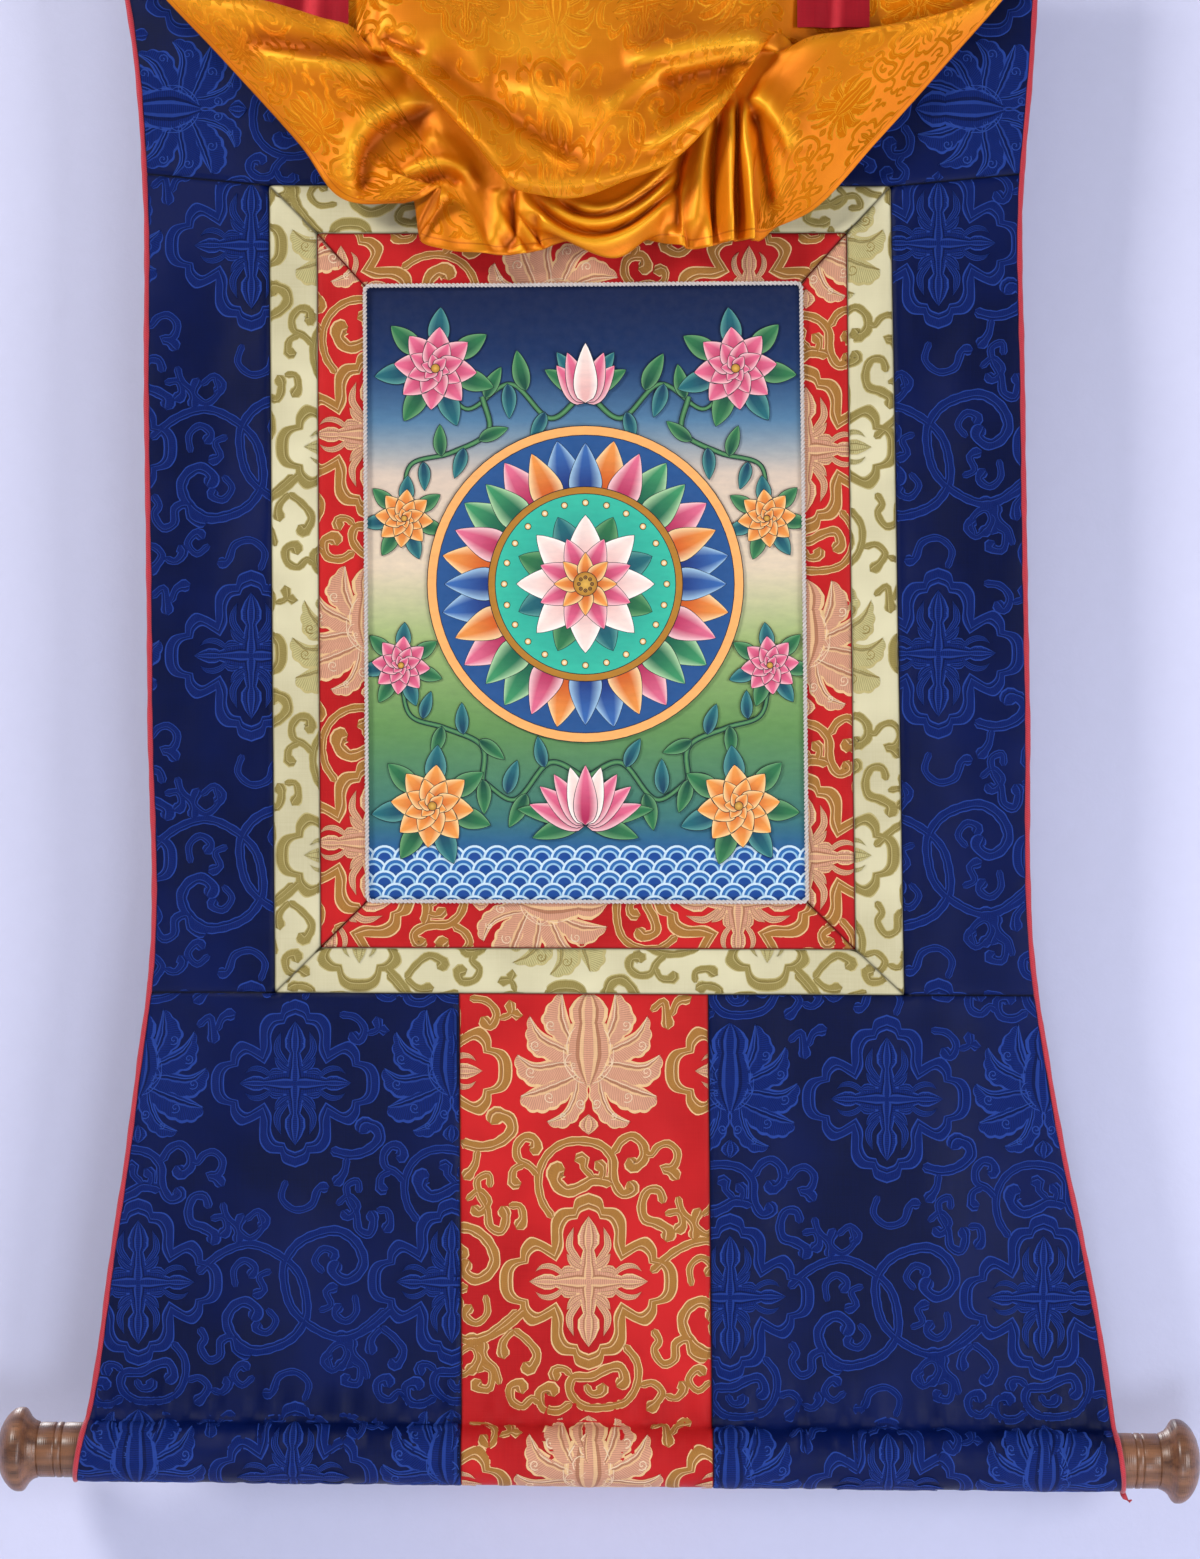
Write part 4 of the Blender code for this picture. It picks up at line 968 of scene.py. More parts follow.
PANELS = {
    "top_panel": Panel(left_edge, right_edge, lambda x: x * 0.0, top_seam),
    "side_strip_left": Panel(left_edge, FRAME_LEFT, top_seam, LOW_SEAM),
    "side_strip_right": Panel(FRAME_RIGHT, right_edge, top_seam, LOW_SEAM),
    "bottom_panel_left": Panel(left_edge, door_left, LOW_SEAM, casing_end),
    "bottom_panel_right": Panel(door_right, right_edge, LOW_SEAM, casing_end),
    "door_panel": Panel(door_left, door_right, LOW_SEAM, casing_end),
}
SIDE_NAMES = ("top", "right", "bottom", "left")
for side, side_name in enumerate(SIDE_NAMES):
    PANELS[f"yellow_frame_{side_name}"] = strip(OUTER_FRAME, MIDDLE_FRAME, side)
    PANELS[f"red_frame_{side_name}"] = strip(MIDDLE_FRAME, INNER_FRAME, side)

SLOT_OF = {name: "navy_brocade" for name in PANELS}
SLOT_OF.update({name: "yellow_brocade" for name in PANELS if name.startswith("yellow")})
SLOT_OF.update({name: "red_brocade" for name in PANELS if name.startswith("red")})
SLOT_OF["door_panel"] = "red_brocade"

PAINTING = cornered(*INNER_FRAME)


def build_panel(name, materials):
    """A brocade cloth of the body, closed, with its seams drawn in."""
    panel = PANELS[name]
    x0, x1, s0, s1 = panel.box()
    across, down = np.meshgrid(shares(x1 - x0, PANEL_STEP), shares(s1 - s0, PANEL_STEP))
    x, s = panel.settle(across, down)
    front = hang(x, s, PANEL_THICK / 2)
    back = hang(x, s, -PANEL_THICK / 2)
    dark = seam_shade(x, s)
    shade = np.stack((dark, dark * 0, dark * 0 + 1), axis=-1)
    piece = closed_sheet(f"{name}_cloth", front, back, np.stack((x, s), axis=-1), materials, shade)
    dress(piece, name)
    return piece


# ---- bands of the brocade's figure
class Figure:
    """Bands of a woven figure, gathered as points with their values, and faces."""

    def __init__(self):
        self.points, self.bands, self.kinds, self.lifts, self.quads = [], [], [], [], []
        self.count = 0
        self.order = 0

    def add_strip(self, first, second, kind, twin=False):
        """A band between two lines of points, facing the front whichever way its line turns. A twin
        band has the same threads on both sides of its middle and lies on top of others."""
        first, second = np.asarray(first, float), np.asarray(second, float)
        share = np.linspace(0, 1, BAND_POINTS)
        grid = first[:, None] + (second - first)[:, None] * share[None, :, None]
        middle = grid[:, BAND_POINTS // 2]
        a, b = np.meshgrid(share, lengths_along(middle))
        height = FIGURE_LOW + (FIGURE_HIGH - FIGURE_LOW) * np.sin(np.pi * a) ** 0.7
        if twin:
            a = 0.5 + np.abs(a - 0.5)
            height = height + TWIN_LIFT
        points = grid.reshape(-1, 2)
        quads = facing_front(points, grid_quads(len(grid), BAND_POINTS))
        self.points.append(points)
        self.bands.append(np.stack((a, b), axis=-1).reshape(-1, 2))
        self.kinds.append(np.full(len(points), kind))
        self.lifts.append((height + self.order * FIGURE_ORDER_LIFT).ravel())
        self.quads.append(quads + self.count)
        self.count += len(points)
        self.order += 1

    def add_along(self, line, half, kind, twin=False):
        """A band with a half width for each point of a line."""
        aside = square_to(line) * half[:, None]
        self.add_strip(line - aside, line + aside, kind, twin)

    def add_band(self, points, widths, kind, step=BAND_STEP, twin=False):
        """A band along a smooth line, with a width for each of its points."""
        line = spline(points, step)
        self.add_along(line, half_widths(widths, len(line)), kind, twin)

    def add_line(self, points, step=LINE_STEP):
        self.add_band(points, [LINE_WIDTH] * len(points), VEIN_KIND, step)

    def add_petal(self, frilled, smooth):
        """A petal between a frilled edge and a smooth edge, with a line along its smooth edge."""
        edge = spline(frilled, FRILL_STEP)
        along = lengths_along(edge)
        out = square_to(edge)
        out *= np.sign(((edge - np.mean(smooth, axis=0)) * out).sum())
        frills = max(2, round(along[-1] / FRILL_PITCH))
        swell = np.abs(np.sin(np.pi * frills * along / along[-1])) - 0.5
        edge = edge + out * (swell * FRILL_DEPTH * smooth_step(along / 6))[:, None]
        other = even_points(spline(smooth, EDGE_STEP), len(edge))
        self.add_strip(edge, other, PETAL_KIND)
        inner = mix(other, edge, 0.2)[1:-1]
        self.add_along(inner, np.full(len(inner), LINE_WIDTH / 2), VEIN_KIND)

    def add_scroll(self, width, *points):
        """A curled band: round at its start and swollen to a bulb at its end."""
        line = spline(points, BAND_STEP)
        length = lengths_along(line)
        bulb = width * BULB_SHARE
        to_start, to_end = length + 0.3, length[-1] - length
        half = width / 2 * mix(1.0, SCROLL_SWELL, smooth_step(1.2 - to_end / (length[-1] * 0.6 + 1)))
        half *= 1 + SCROLL_RIPPLE * np.sin(length * math.tau / SCROLL_RIPPLE_PITCH)
        half = np.minimum(half, np.sqrt(np.maximum(width * to_start, 0.01)))
        round_end = np.sqrt(np.maximum(bulb**2 - (to_end - bulb) ** 2, 0.01))
        half = np.where(to_end < bulb, round_end, np.maximum(half, np.where(to_end < 2 * bulb, round_end, 0)))
        self.add_along(line, half, CURL_KIND)

    def add_curl(self, x, y, radius, flip=1):
        """A thin spiral line that opens away from the axis."""
        turn = np.linspace(0, 1, 13)
        angle = 2.2 - turn * math.tau * 1.3
        reach = radius * (1 - 0.85 * turn)
        line = np.stack((x + flip * reach * np.cos(angle), y + reach * np.sin(angle)), axis=1)
        self.add_line(line, CURL_STEP)

    def packed(self):
        return (
            np.vstack(self.points),
            np.vstack(self.bands),
            np.concatenate(self.kinds),
            np.concatenate(self.lifts),
            np.vstack(self.quads),
        )


def mirrored(points, flip_x, flip_y):
    return [(x * flip_x, y * flip_y) for x, y in points]


def lotus_figure():
    figure = Figure()
    for width, *points in LOTUS_SCROLLS:
        figure.add_scroll(width, *points)
    for frilled, smooth in LOTUS_PETALS:
        for flip in (1, -1):
            figure.add_petal(mirrored(frilled, flip, 1), mirrored(smooth, flip, 1))
    for widths, *points in LOTUS_HEART:
        figure.add_band(points, widths, PETAL_KIND, twin=True)
    for flip in (1, -1):
        for points in LOTUS_LINES:
            figure.add_line(mirrored(points, flip, 1))
        for x, y, radius in LOTUS_CURLS:
            figure.add_curl(flip * x, y, radius, flip)
    return figure.packed()


def frame_outline(rows):
    """The closed outer and inner lines of the eight-lobed frame."""
    ends = [0] + [k for k, row in enumerate(rows) if row[0] == "notch"] + [len(rows) - 1]
    lines = []
    for column in (1, 3):
        lobes = []
        for start, stop in zip(ends, ends[1:]):
            lobe = spline([row[column:column + 2] for row in rows[start:stop + 1]], EDGE_STEP)
            lobes.append(even_points(lobe, LOBE_POINTS * (stop - start + 1))[1 if lobes else 0:])
        quarter = np.vstack(lobes)
        half = np.vstack((quarter, quarter[-2::-1] * (-1, 1)))
        lines.append(np.vstack((half, half[-2::-1] * (1, -1))))
    return lines


def add_frame(figure):
    outer, inner = frame_outline(FRAME_QUARTER)
    figure.add_strip(outer, inner, CURL_KIND)
    quarters = ((1, 1), (-1, 1), (1, -1), (-1, -1))
    for flip_x, flip_y in quarters:
        for widths, *points in SCEPTRE_PRONGS:
            figure.add_band(mirrored(points, flip_x, flip_y), widths, PETAL_KIND, SCEPTRE_STEP, True)
    for flip in (1, -1):
        for widths, *points in SCEPTRE_ON_AXES:
            figure.add_band(mirrored(points, flip, flip), widths, PETAL_KIND, SCEPTRE_STEP, True)
    for flip_x, flip_y in quarters:
        for points in SCEPTRE_LINES:
            figure.add_line(mirrored(points, flip_x, flip_y))
        for x, y, width, height in SCEPTRE_BEADS:
            ends = [(x, y + height * share) for share in (-0.5, -0.3, 0.3, 0.5)]
            figure.add_band(mirrored(ends, flip_x, flip_y), (0, width, width, 0), VEIN_KIND, BEAD_STEP)


def frame_figure():
    figure = Figure()
    for width, *points in FRAME_SCROLLS:
        figure.add_scroll(width, *points)
    add_frame(figure)
    return figure.packed()


def side_frame_figure():
    figure = Figure()
    add_frame(figure)
    return figure.packed()


def spirals_figure():
    figure = Figure()
    for turn in (1, -1):
        for width, *points in SPIRAL_SCROLLS:
            figure.add_scroll(width, *mirrored(points, turn, turn))
    return figure.packed()


MOTIFS = (
    (lotus_figure(), 0.0, 0.0),
    (frame_figure(), 0.0, FRAME_BELOW_LOTUS),
    (side_frame_figure(), REPEAT_ACROSS / 2, SIDE_FRAME_BELOW),
    (spirals_figure(), REPEAT_ACROSS / 2, SIDE_SPIRALS_BELOW),
)


def lay_figure(anchor, box, clip):
    """All bands of the repeat that fall on a cloth, as places on it with their values."""
    lotus_x, lotus_s, scale, turned = anchor
    x0, x1, s0, s1 = box
    found = []
    count = 0
    reach = math.hypot(x1 - x0, s1 - s0) / scale
    most_across = int(reach / REPEAT_ACROSS) + 2
    most_down = int(reach / REPEAT_DOWN) + 2
    for (points, bands, kinds, lifts, quads), along_x, along_y in MOTIFS:
        for i in range(-most_across, most_across + 1):
            for j in range(-most_down, most_down + 1):
                p = (points[:, 0] + along_x + i * REPEAT_ACROSS) * scale
                q = (points[:, 1] + along_y + j * REPEAT_DOWN) * scale
                x, s = lotus_x + p, lotus_s + q
                if turned:
                    x, s = lotus_x + turned * q, lotus_s - turned * p
                if x.max() < x0 or x.min() > x1 or s.max() < s0 or s.min() > s1:
                    continue
                x, s = clip(x, s)
                a, b, c, d = (quads[:, k] for k in range(4))
                area = (x[c] - x[a]) * (s[d] - s[b]) - (x[d] - x[b]) * (s[c] - s[a])
                kept = quads[np.abs(area) / 2 > LEAST_AREA]
                used, renamed = np.unique(kept, return_inverse=True)
                found.append((x[used], s[used], bands[used], kinds[used], lifts[used],
                              renamed.reshape(kept.shape) + count))
                count += len(used)
    return [np.concatenate(parts) for parts in zip(*found)]


def build_figure(name, material):
    """The woven figure of one brocade cloth."""
    panel = PANELS[name]
    x, s, bands, kinds, lifts, quads = lay_figure(
        CLOTH_ROWS[name][2:], panel.box(), lambda x, s: panel.clip(x, s, FIGURE_INSET)
    )
    points = hang(x, s, PANEL_THICK / 2 + lifts)
    tones = np.stack((kinds, seam_shade(x, s), kinds * 0, kinds * 0 + 1), axis=1)
    uvs = {"Cloth": np.stack((x, s), axis=1) * MM, "Band": bands}
    piece = add_mesh(f"{name}_figure", points, quads, uvs, {"Kind": tones}, (material,))
    return dress(piece)


# ---- node trees
def feed(tree, node, sockets):
    """Links or sets each of the sockets of a node."""
    for key, value in sockets.items():
        if isinstance(value, bpy.types.NodeSocket):
            tree.links.new(value, node.inputs[key])
        else:
            node.inputs[key].default_value = value


def wire(tree, kind, sockets=None, **settings):
    """A node with its settings, and each of its sockets linked or set."""
    node = tree.nodes.new("ShaderNode" + kind)
    for key, value in settings.items():
        setattr(node, key, value)
    feed(tree, node, sockets or {})
    return node


def calc(tree, operation, a, b=0.0, c=0.0):
    return wire(tree, "Math", {0: a, 1: b, 2: c}, operation=operation).outputs[0]


def blend(tree, share, a, b, blend_type="MIX"):
    node = wire(tree, "Mix", {0: share, 6: a, 7: b}, data_type="RGBA", blend_type=blend_type)
    return node.outputs[2]


def noise(tree, vector, scale, detail=2.0, roughness=0.5):
    sockets = {"Vector": vector, "Scale": scale, "Detail": detail, "Roughness": roughness}
    return wire(tree, "TexNoise", sockets).outputs["Fac"]


def stretch(tree, vector, across, down, deep=1.0):
    return wire(tree, "VectorMath", {0: vector, 1: (across, down, deep)}, operation="MULTIPLY").outputs[0]


def steps(tree, value, stops, smooth=False):
    """A ramp through grey stops: place, then value."""
    node = wire(tree, "ValToRGB", {"Fac": value})
    node.color_ramp.interpolation = "LINEAR" if smooth else "CONSTANT"
    elements = node.color_ramp.elements
    while len(elements) < len(stops):
        elements.new(0.5)
    for element, (place, grey) in zip(elements, stops):
        element.position = place
    for element, (place, grey) in zip(elements, stops):
        element.color = (grey, grey, grey, 1)
    return node.outputs["Color"]


def group(name, inputs, outputs):
    """An empty node group with named sockets, and its input and output nodes."""
    tree = bpy.data.node_groups.new(name, "ShaderNodeTree")
    for label, kind in inputs:
        tree.interface.new_socket(name=label, in_out="INPUT", socket_type="NodeSocket" + kind)
    for label in outputs:
        tree.interface.new_socket(name=label, in_out="OUTPUT", socket_type="NodeSocketFloat")
    return tree, tree.nodes.new("NodeGroupInput").outputs, tree.nodes.new("NodeGroupOutput")


def use_group(tree, which, sockets):
    return wire(tree, "Group", sockets, node_tree=which).outputs


def make_woven_threads():
    """Warp and weft of a cloth, from its own place in metres: Height of the threads, and Slub,
    the thicker and thinner threads."""
    tree, given, result = group(
        "woven_threads", (("Cloth", "Vector"), ("Warp", "Float"), ("Weft", "Float")), ("Height", "Slub")
    )
    apart = wire(tree, "SeparateXYZ", {0: given["Cloth"]}).outputs
    warp = calc(tree, "SINE", calc(tree, "MULTIPLY", apart["X"], given["Warp"]))
    weft = calc(tree, "SINE", calc(tree, "MULTIPLY", apart["Y"], given["Weft"]))
    both = calc(tree, "MULTIPLY_ADD", calc(tree, "ADD", warp, weft), 0.25, 0.5)
    across = noise(tree, stretch(tree, given["Cloth"], 40.0, 1400.0), 1.0, 1.0)
    down = noise(tree, stretch(tree, given["Cloth"], 1400.0, 40.0), 1.0, 1.0)
    slub = calc(tree, "MULTIPLY", calc(tree, "ADD", across, down), 0.5)
    feed(tree, result, {"Height": both, "Slub": slub})
    return tree


def make_band_threads():
    """Lines along a woven band, from its place across and along: Outline, Dark and Stipple."""
    tree, given, result = group("band_threads", (("Band", "Vector"),), ("Outline", "Dark", "Stipple"))
    apart = wire(tree, "SeparateXYZ", {0: given["Band"]}).outputs
    outline = steps(tree, apart["X"], ((0, 1), (0.10, 0), (0.60, 0.75), (0.68, 0), (0.90, 1)))
    dark = steps(tree, apart["X"], ((0, 0), (0.68, 1), (0.76, 0)))
    slope = calc(tree, "MULTIPLY_ADD", apart["X"], 9.0, calc(tree, "MULTIPLY", apart["Y"], 4.6))
    dashes = calc(tree, "SINE", slope)
    cut = noise(tree, stretch(tree, given["Band"], 9.0, 0.9), 1.0, 1.0)
    marks = steps(tree, calc(tree, "MULTIPLY", dashes, cut), ((0, 0), (0.25, 1)), True)
    feed(tree, result, {"Outline": outline, "Dark": dark, "Stipple": marks})
    return tree


def make_cloth_ageing():
    """Slow changes of tone over a cloth: Tone, broad, and Fleck, fine."""
    tree, given, result = group("cloth_ageing", (("Cloth", "Vector"),), ("Tone", "Fleck"))
    broad = noise(tree, given["Cloth"], 9.0, 3.0, 0.55)
    fine = noise(tree, given["Cloth"], 160.0, 3.0, 0.6)
    feed(tree, result, {"Tone": broad, "Fleck": fine})
    return tree


WOVEN_THREADS = make_woven_threads()
BAND_THREADS = make_band_threads()
CLOTH_AGEING = make_cloth_ageing()
THREAD_TURNS = math.tau / MM
# How much lighter a worn place of a cloth is, and how much of its tone is left in a seam.
WORN_LIFT = 1.15
SEAM_DARK = 0.25
# The hem line of the silk, as shares of the width in which a hem is told from the cloth.
HEM_REACH = 20.0
HEM_LINE = ((0.0, 0.0), (0.27, 1.0), (0.33, 0.0))
# Silk takes its own colour into its gloss, as a metal does. Figure threads and paint hardly shine.
SILK_METAL = 0.4
MATT_GLOSS = 0.08


def new_material(name):
    material = bpy.data.materials.new(name)
    material.use_nodes = True
    tree = material.node_tree
    return material, tree, tree.nodes["Principled BSDF"]


def own_uv(tree, label="Cloth"):
    return wire(tree, "UVMap", uv_map=label).outputs["UV"]


def shade_of(tree, label="Shade"):
    """The three values that a piece carries for its shade."""
    given = wire(tree, "Attribute", attribute_name=label).outputs["Color"]
    return wire(tree, "SeparateColor", {0: given}).outputs


def finish_with(tree, shader, colour, roughness, height, depth, others=None):
    """Feeds a shader its colour, its roughness, a bump of depth millimetres and its other inputs."""
    raised = wire(tree, "Bump", {"Height": height, "Distance": depth * MM, "Strength": 1.0})
    feed(tree, shader, {"Base Color": colour, "Roughness": roughness,
                        "Normal": raised.outputs["Normal"], **(others or {})})


def new_cloth(name, warp, weft):
    """A material with the threads and the ageing of its cloth, whose threads are warp and weft wide."""
    material, tree, shader = new_material(name)
    cloth = own_uv(tree)
    widths = {"Warp": THREAD_TURNS / warp, "Weft": THREAD_TURNS / weft}
    threads = use_group(tree, WOVEN_THREADS, {"Cloth": cloth, **widths})
    return material, tree, shader, threads, use_group(tree, CLOTH_AGEING, {"Cloth": cloth})


def ground_cloth(name, colour, shade, sheen, gloss, roughness):
    """The satin ground of a brocade: colour, and the deeper colour between its threads."""
    material, tree, shader, threads, age = new_cloth(name, 0.45, 0.62)
    base = blend(tree, threads["Slub"], shade, colour)
    dark = shade_of(tree)["Red"]
    worn = steps(tree, age["Tone"], ((0.40, 0.0), (0.62, 1.0)), True)
    base = blend(tree, worn, base, (*(c * WORN_LIFT for c in colour[:3]), 1))
    base = blend(tree, dark, base, (*(c * SEAM_DARK for c in shade[:3]), 1))
    rough = calc(tree, "MULTIPLY_ADD", age["Fleck"], 0.2, roughness - 0.1)
    finish_with(tree, shader, base, rough, threads["Height"], 0.08,
                {"Specular IOR Level": gloss, "Sheen Weight": sheen, "Sheen Roughness": 0.4})
    return material


def reverse_cloth(name, colour, float_colour):
    """The wrong side of a brocade, with the long loose threads of its figure."""
    material, tree, shader, threads, age = new_cloth(name, 0.6, 0.6)
    lines = noise(tree, stretch(tree, own_uv(tree), 12.0, 900.0), 1.0, 2.0)
    floats = steps(tree, lines, ((0.45, 0), (0.62, 1)), True)
    patches = steps(tree, age["Tone"], ((0.40, 0.15), (0.60, 0.8)), True)
    base = blend(tree, calc(tree, "MULTIPLY", floats, patches), colour, float_colour)
    finish_with(tree, shader, base, 0.7, calc(tree, "ADD", threads["Height"], floats), 0.12)
    return material


def figure_thread(name, fills, outline, dark, vein, dark_line_and_fold_shade, metal, roughness):
    """The figure threads of a brocade: fills for its scrolls and its petals, then the colours of
    the outlines, which also paint the highlight on the ridges of the cover's folds, the dark lines,
    the veins, and the darkest places, which are a seam's line and the painted shade in the
    cover's hollows."""
    material, tree, shader, threads, age = new_cloth(name, 0.9, 0.45)
    band = use_group(tree, BAND_THREADS, {"Band": own_uv(tree, "Band")})
    carried = shade_of(tree, "Kind")
    petal = calc(tree, "GREATER_THAN", carried["Red"], 0.25)
    line = calc(tree, "GREATER_THAN", carried["Red"], 0.75)
    fill = blend(tree, petal, fills[0], fills[1])
    stipple = calc(tree, "MULTIPLY", band["Stipple"], calc(tree, "MULTIPLY_ADD", petal, 0.22, 0.2))
    fill = blend(tree, stipple, fill, dark)
    fill = blend(tree, calc(tree, "MULTIPLY", band["Outline"], 0.9), fill, outline)
    fill = blend(tree, calc(tree, "MULTIPLY", band["Dark"], 0.6), fill, dark)
    fill = blend(tree, line, fill, vein)
    fill = blend(tree, calc(tree, "MULTIPLY", age["Fleck"], 0.3), fill, dark)
    # The darkest colour on a seam's line and as painted shade in the cover's hollows, then the outline colour
    # as a painted highlight on the cover's ridges.
    fill = blend(tree, carried["Green"], fill, dark_line_and_fold_shade)
    fill = blend(tree, carried["Blue"], fill, outline)
    height = calc(tree, "ADD", threads["Height"], calc(tree, "MULTIPLY", band["Outline"], 0.8))
    height = calc(tree, "SUBTRACT", height, calc(tree, "MULTIPLY", band["Dark"], 1.2))
    finish_with(tree, shader, fill, roughness, height, 0.18,
                {"Specular IOR Level": MATT_GLOSS, "Metallic": metal})
    return material


def painted_cloth(name):
    """Matt paint on primed cloth, with brushed tone and a faint weave."""
    material, tree, shader, threads, age = new_cloth(name, 0.8, 0.8)
    paint = wire(tree, "Attribute", attribute_name="Paint").outputs["Color"]
    lighter = blend(tree, 1.0, paint, (1.14, 1.12, 1.08, 1), "MULTIPLY")
    darker = blend(tree, 1.0, paint, (0.80, 0.82, 0.86, 1), "MULTIPLY")
    brushed = noise(tree, stretch(tree, own_uv(tree), 90.0, 240.0), 1.0, 4.0, 0.6)
    colour = blend(tree, brushed, darker, lighter)
    colour = blend(tree, calc(tree, "MULTIPLY", age["Fleck"], 0.02), colour, tone(240, 235, 220))
    finish_with(tree, shader, colour, 0.78, threads["Height"], 0.05, {"Specular IOR Level": MATT_GLOSS})
    return material


def plain_thread(name, colour, deep, pitch):
    """Wound or twilled thread, read along a piece by its Cloth map, with painted shade in the grooves
    between its threads.
    """
    material, tree, shader = new_material(name)
    cloth = own_uv(tree)
    apart = wire(tree, "SeparateXYZ", {0: cloth}).outputs
    slope = calc(tree, "ADD", apart["X"], apart["Y"])
    ridges = calc(tree, "SINE", calc(tree, "MULTIPLY", slope, THREAD_TURNS / pitch))
    ridges = calc(tree, "MULTIPLY_ADD", ridges, 0.5, 0.5)
    age = use_group(tree, CLOTH_AGEING, {"Cloth": cloth})
    # The grooves between the threads are painted in the deep colour, a painted shade, and the ridges lighter.
    mixed = calc(tree, "MULTIPLY_ADD", ridges, 0.6, calc(tree, "MULTIPLY", age["Fleck"], 0.5))
    finish_with(tree, shader, blend(tree, mixed, deep, colour), 0.6, ridges, 0.15, {"Sheen Weight": 0.3})
    return material


def satin(name, colour, deep, light_tone_and_highlight, dark_line_and_fold_shade, roughness):
    """Silk satin, deeper where its threads part and lighter in patches, with painted shade in the
    hollows of its folds, a painted highlight on their ridges and a dark line along its hem.
    """
    material, tree, shader, threads, age = new_cloth(name, 0.4, 0.7)
    base = blend(tree, threads["Slub"], deep, colour)
    base = blend(tree, calc(tree, "MULTIPLY", age["Tone"], 0.35), base, light_tone_and_highlight)
    carried = shade_of(tree)
    # Painted shade in the hollows of the folds, then a painted highlight on their ridges.
    base = blend(tree, carried["Red"], base, dark_line_and_fold_shade)
    base = blend(tree, carried["Green"], base, light_tone_and_highlight)
    hem = calc(tree, "MULTIPLY", steps(tree, carried["Blue"], HEM_LINE), 0.6)
    base = blend(tree, hem, base, dark_line_and_fold_shade)
    rough = calc(tree, "MULTIPLY_ADD", age["Fleck"], 0.2, roughness)
    finish_with(tree, shader, base, rough, threads["Height"], 0.05,
                {"Specular IOR Level": 0.25, "Metallic": SILK_METAL})
    return material


def turned_wood():
    """Oiled hardwood with its grain along the roller."""
    material, tree, shader = new_material("turned_wood_grain")
    place = wire(tree, "TexCoord").outputs["Object"]
    long_grain = noise(tree, stretch(tree, place, 9.0, 130.0, 130.0), 1.0, 5.0, 0.6)
    pores = noise(tree, stretch(tree, place, 60.0, 1500.0, 1500.0), 1.0, 2.0, 0.6)
    apart = wire(tree, "SeparateXYZ", {0: place}).outputs
    rings = calc(tree, "SINE", calc(tree, "MULTIPLY", apart["X"], THREAD_TURNS / 1.3))
    share = steps(tree, long_grain, ((0.30, 0.0), (0.5, 0.55), (0.72, 1.0)), True)
    colour = blend(tree, share, tone(74, 43, 27), tone(146, 98, 66))
    dark_pores = steps(tree, pores, ((0.30, 1), (0.42, 0)), True)
    colour = blend(tree, calc(tree, "MULTIPLY", dark_pores, 0.6), colour, tone(45, 26, 17))
    rough = calc(tree, "MULTIPLY_ADD", long_grain, 0.18, 0.28)
    height = calc(tree, "MULTIPLY_ADD", rings, 0.3, long_grain)
    finish_with(tree, shader, colour, rough, height, 0.12, {"Coat Weight": 0.25, "Coat Roughness": 0.25})
    return material


# The ground, the wrong side and the figure threads of each brocade.
BROCADES = {
    "navy_brocade": (
        ground_cloth("navy_ground", tone(2, 16, 66), tone(0, 6, 34), 0.0, 0.12, 0.36),
        reverse_cloth("navy_reverse", tone(20, 30, 82), tone(46, 62, 140)),
        figure_thread("navy_figure", (tone(12, 35, 105), tone(14, 39, 113)), tone(42, 72, 158),
                      tone(3, 10, 44), tone(50, 82, 168), tone(1, 4, 22), 0.0, 0.42),
    ),
    "yellow_brocade": (
        ground_cloth("yellow_ground", tone(206, 198, 162), tone(186, 176, 138), 0.05, 0.1, 0.45),
        reverse_cloth("yellow_reverse", tone(206, 196, 146), tone(176, 158, 92)),
        figure_thread("yellow_figure", (tone(158, 142, 82), tone(206, 196, 138)), tone(204, 188, 128),
                      tone(122, 104, 52), tone(168, 146, 84), tone(60, 46, 24), 0.15, 0.4),
    ),
    "red_brocade": (
        ground_cloth("red_ground", tone(186, 33, 34), tone(160, 18, 23), 0.0, 0.08, 0.42),
        reverse_cloth("red_reverse", tone(176, 48, 40), tone(186, 140, 84)),
        figure_thread("red_figure", (tone(172, 122, 56), tone(226, 168, 138)), tone(248, 208, 152),
                      tone(150, 92, 58), tone(255, 228, 192), tone(56, 12, 10), 0.2, 0.36),
    ),
}
PAINT = painted_cloth("painted_sheet")
PAINT_BACK = reverse_cloth("primed_back", tone(196, 186, 164), tone(214, 206, 188))
CORD_THREAD = plain_thread("white_cord_thread", tone(238, 230, 224), tone(184, 170, 164), 0.9)
BINDING_THREAD = plain_thread("red_binding_cloth", tone(206, 34, 54), tone(142, 14, 34), 1.4)
WOOD = turned_wood()
# The bright tone of the silk and the outline of its figure also paint highlights on the ridges of the folds,
# and the deepest tone paints shade in their hollows.
SILK = satin("gold_silk_satin", tone(226, 121, 0), tone(202, 96, 0), tone(250, 170, 30),
             tone(178, 84, 0), 0.26)
SILK_FIGURE = figure_thread("gold_silk_figure", (tone(230, 126, 2), tone(230, 126, 2)),
                            tone(254, 178, 42), tone(214, 106, 0), tone(254, 178, 42),
                            tone(178, 84, 0), 0.4, 0.24)
RIBBON = satin("crimson_satin", tone(176, 18, 36), tone(128, 8, 24), tone(208, 44, 58),
               tone(90, 4, 16), 0.36)


# ---- tubes
def tube_points(centres, sides, half_width, half_depth, out, face):
    """Rings of points round a line: out and face are the directions of its width and depth."""
    turn = np.linspace(0, math.tau, sides, endpoint=False)
    ring_out = (out[:, None] * np.cos(turn)[None, :, None]) * np.reshape(half_width, (-1, 1, 1))
    ring_face = (face[:, None] * np.sin(turn)[None, :, None]) * np.reshape(half_depth, (-1, 1, 1))
    return centres[:, None] + ring_out + ring_face


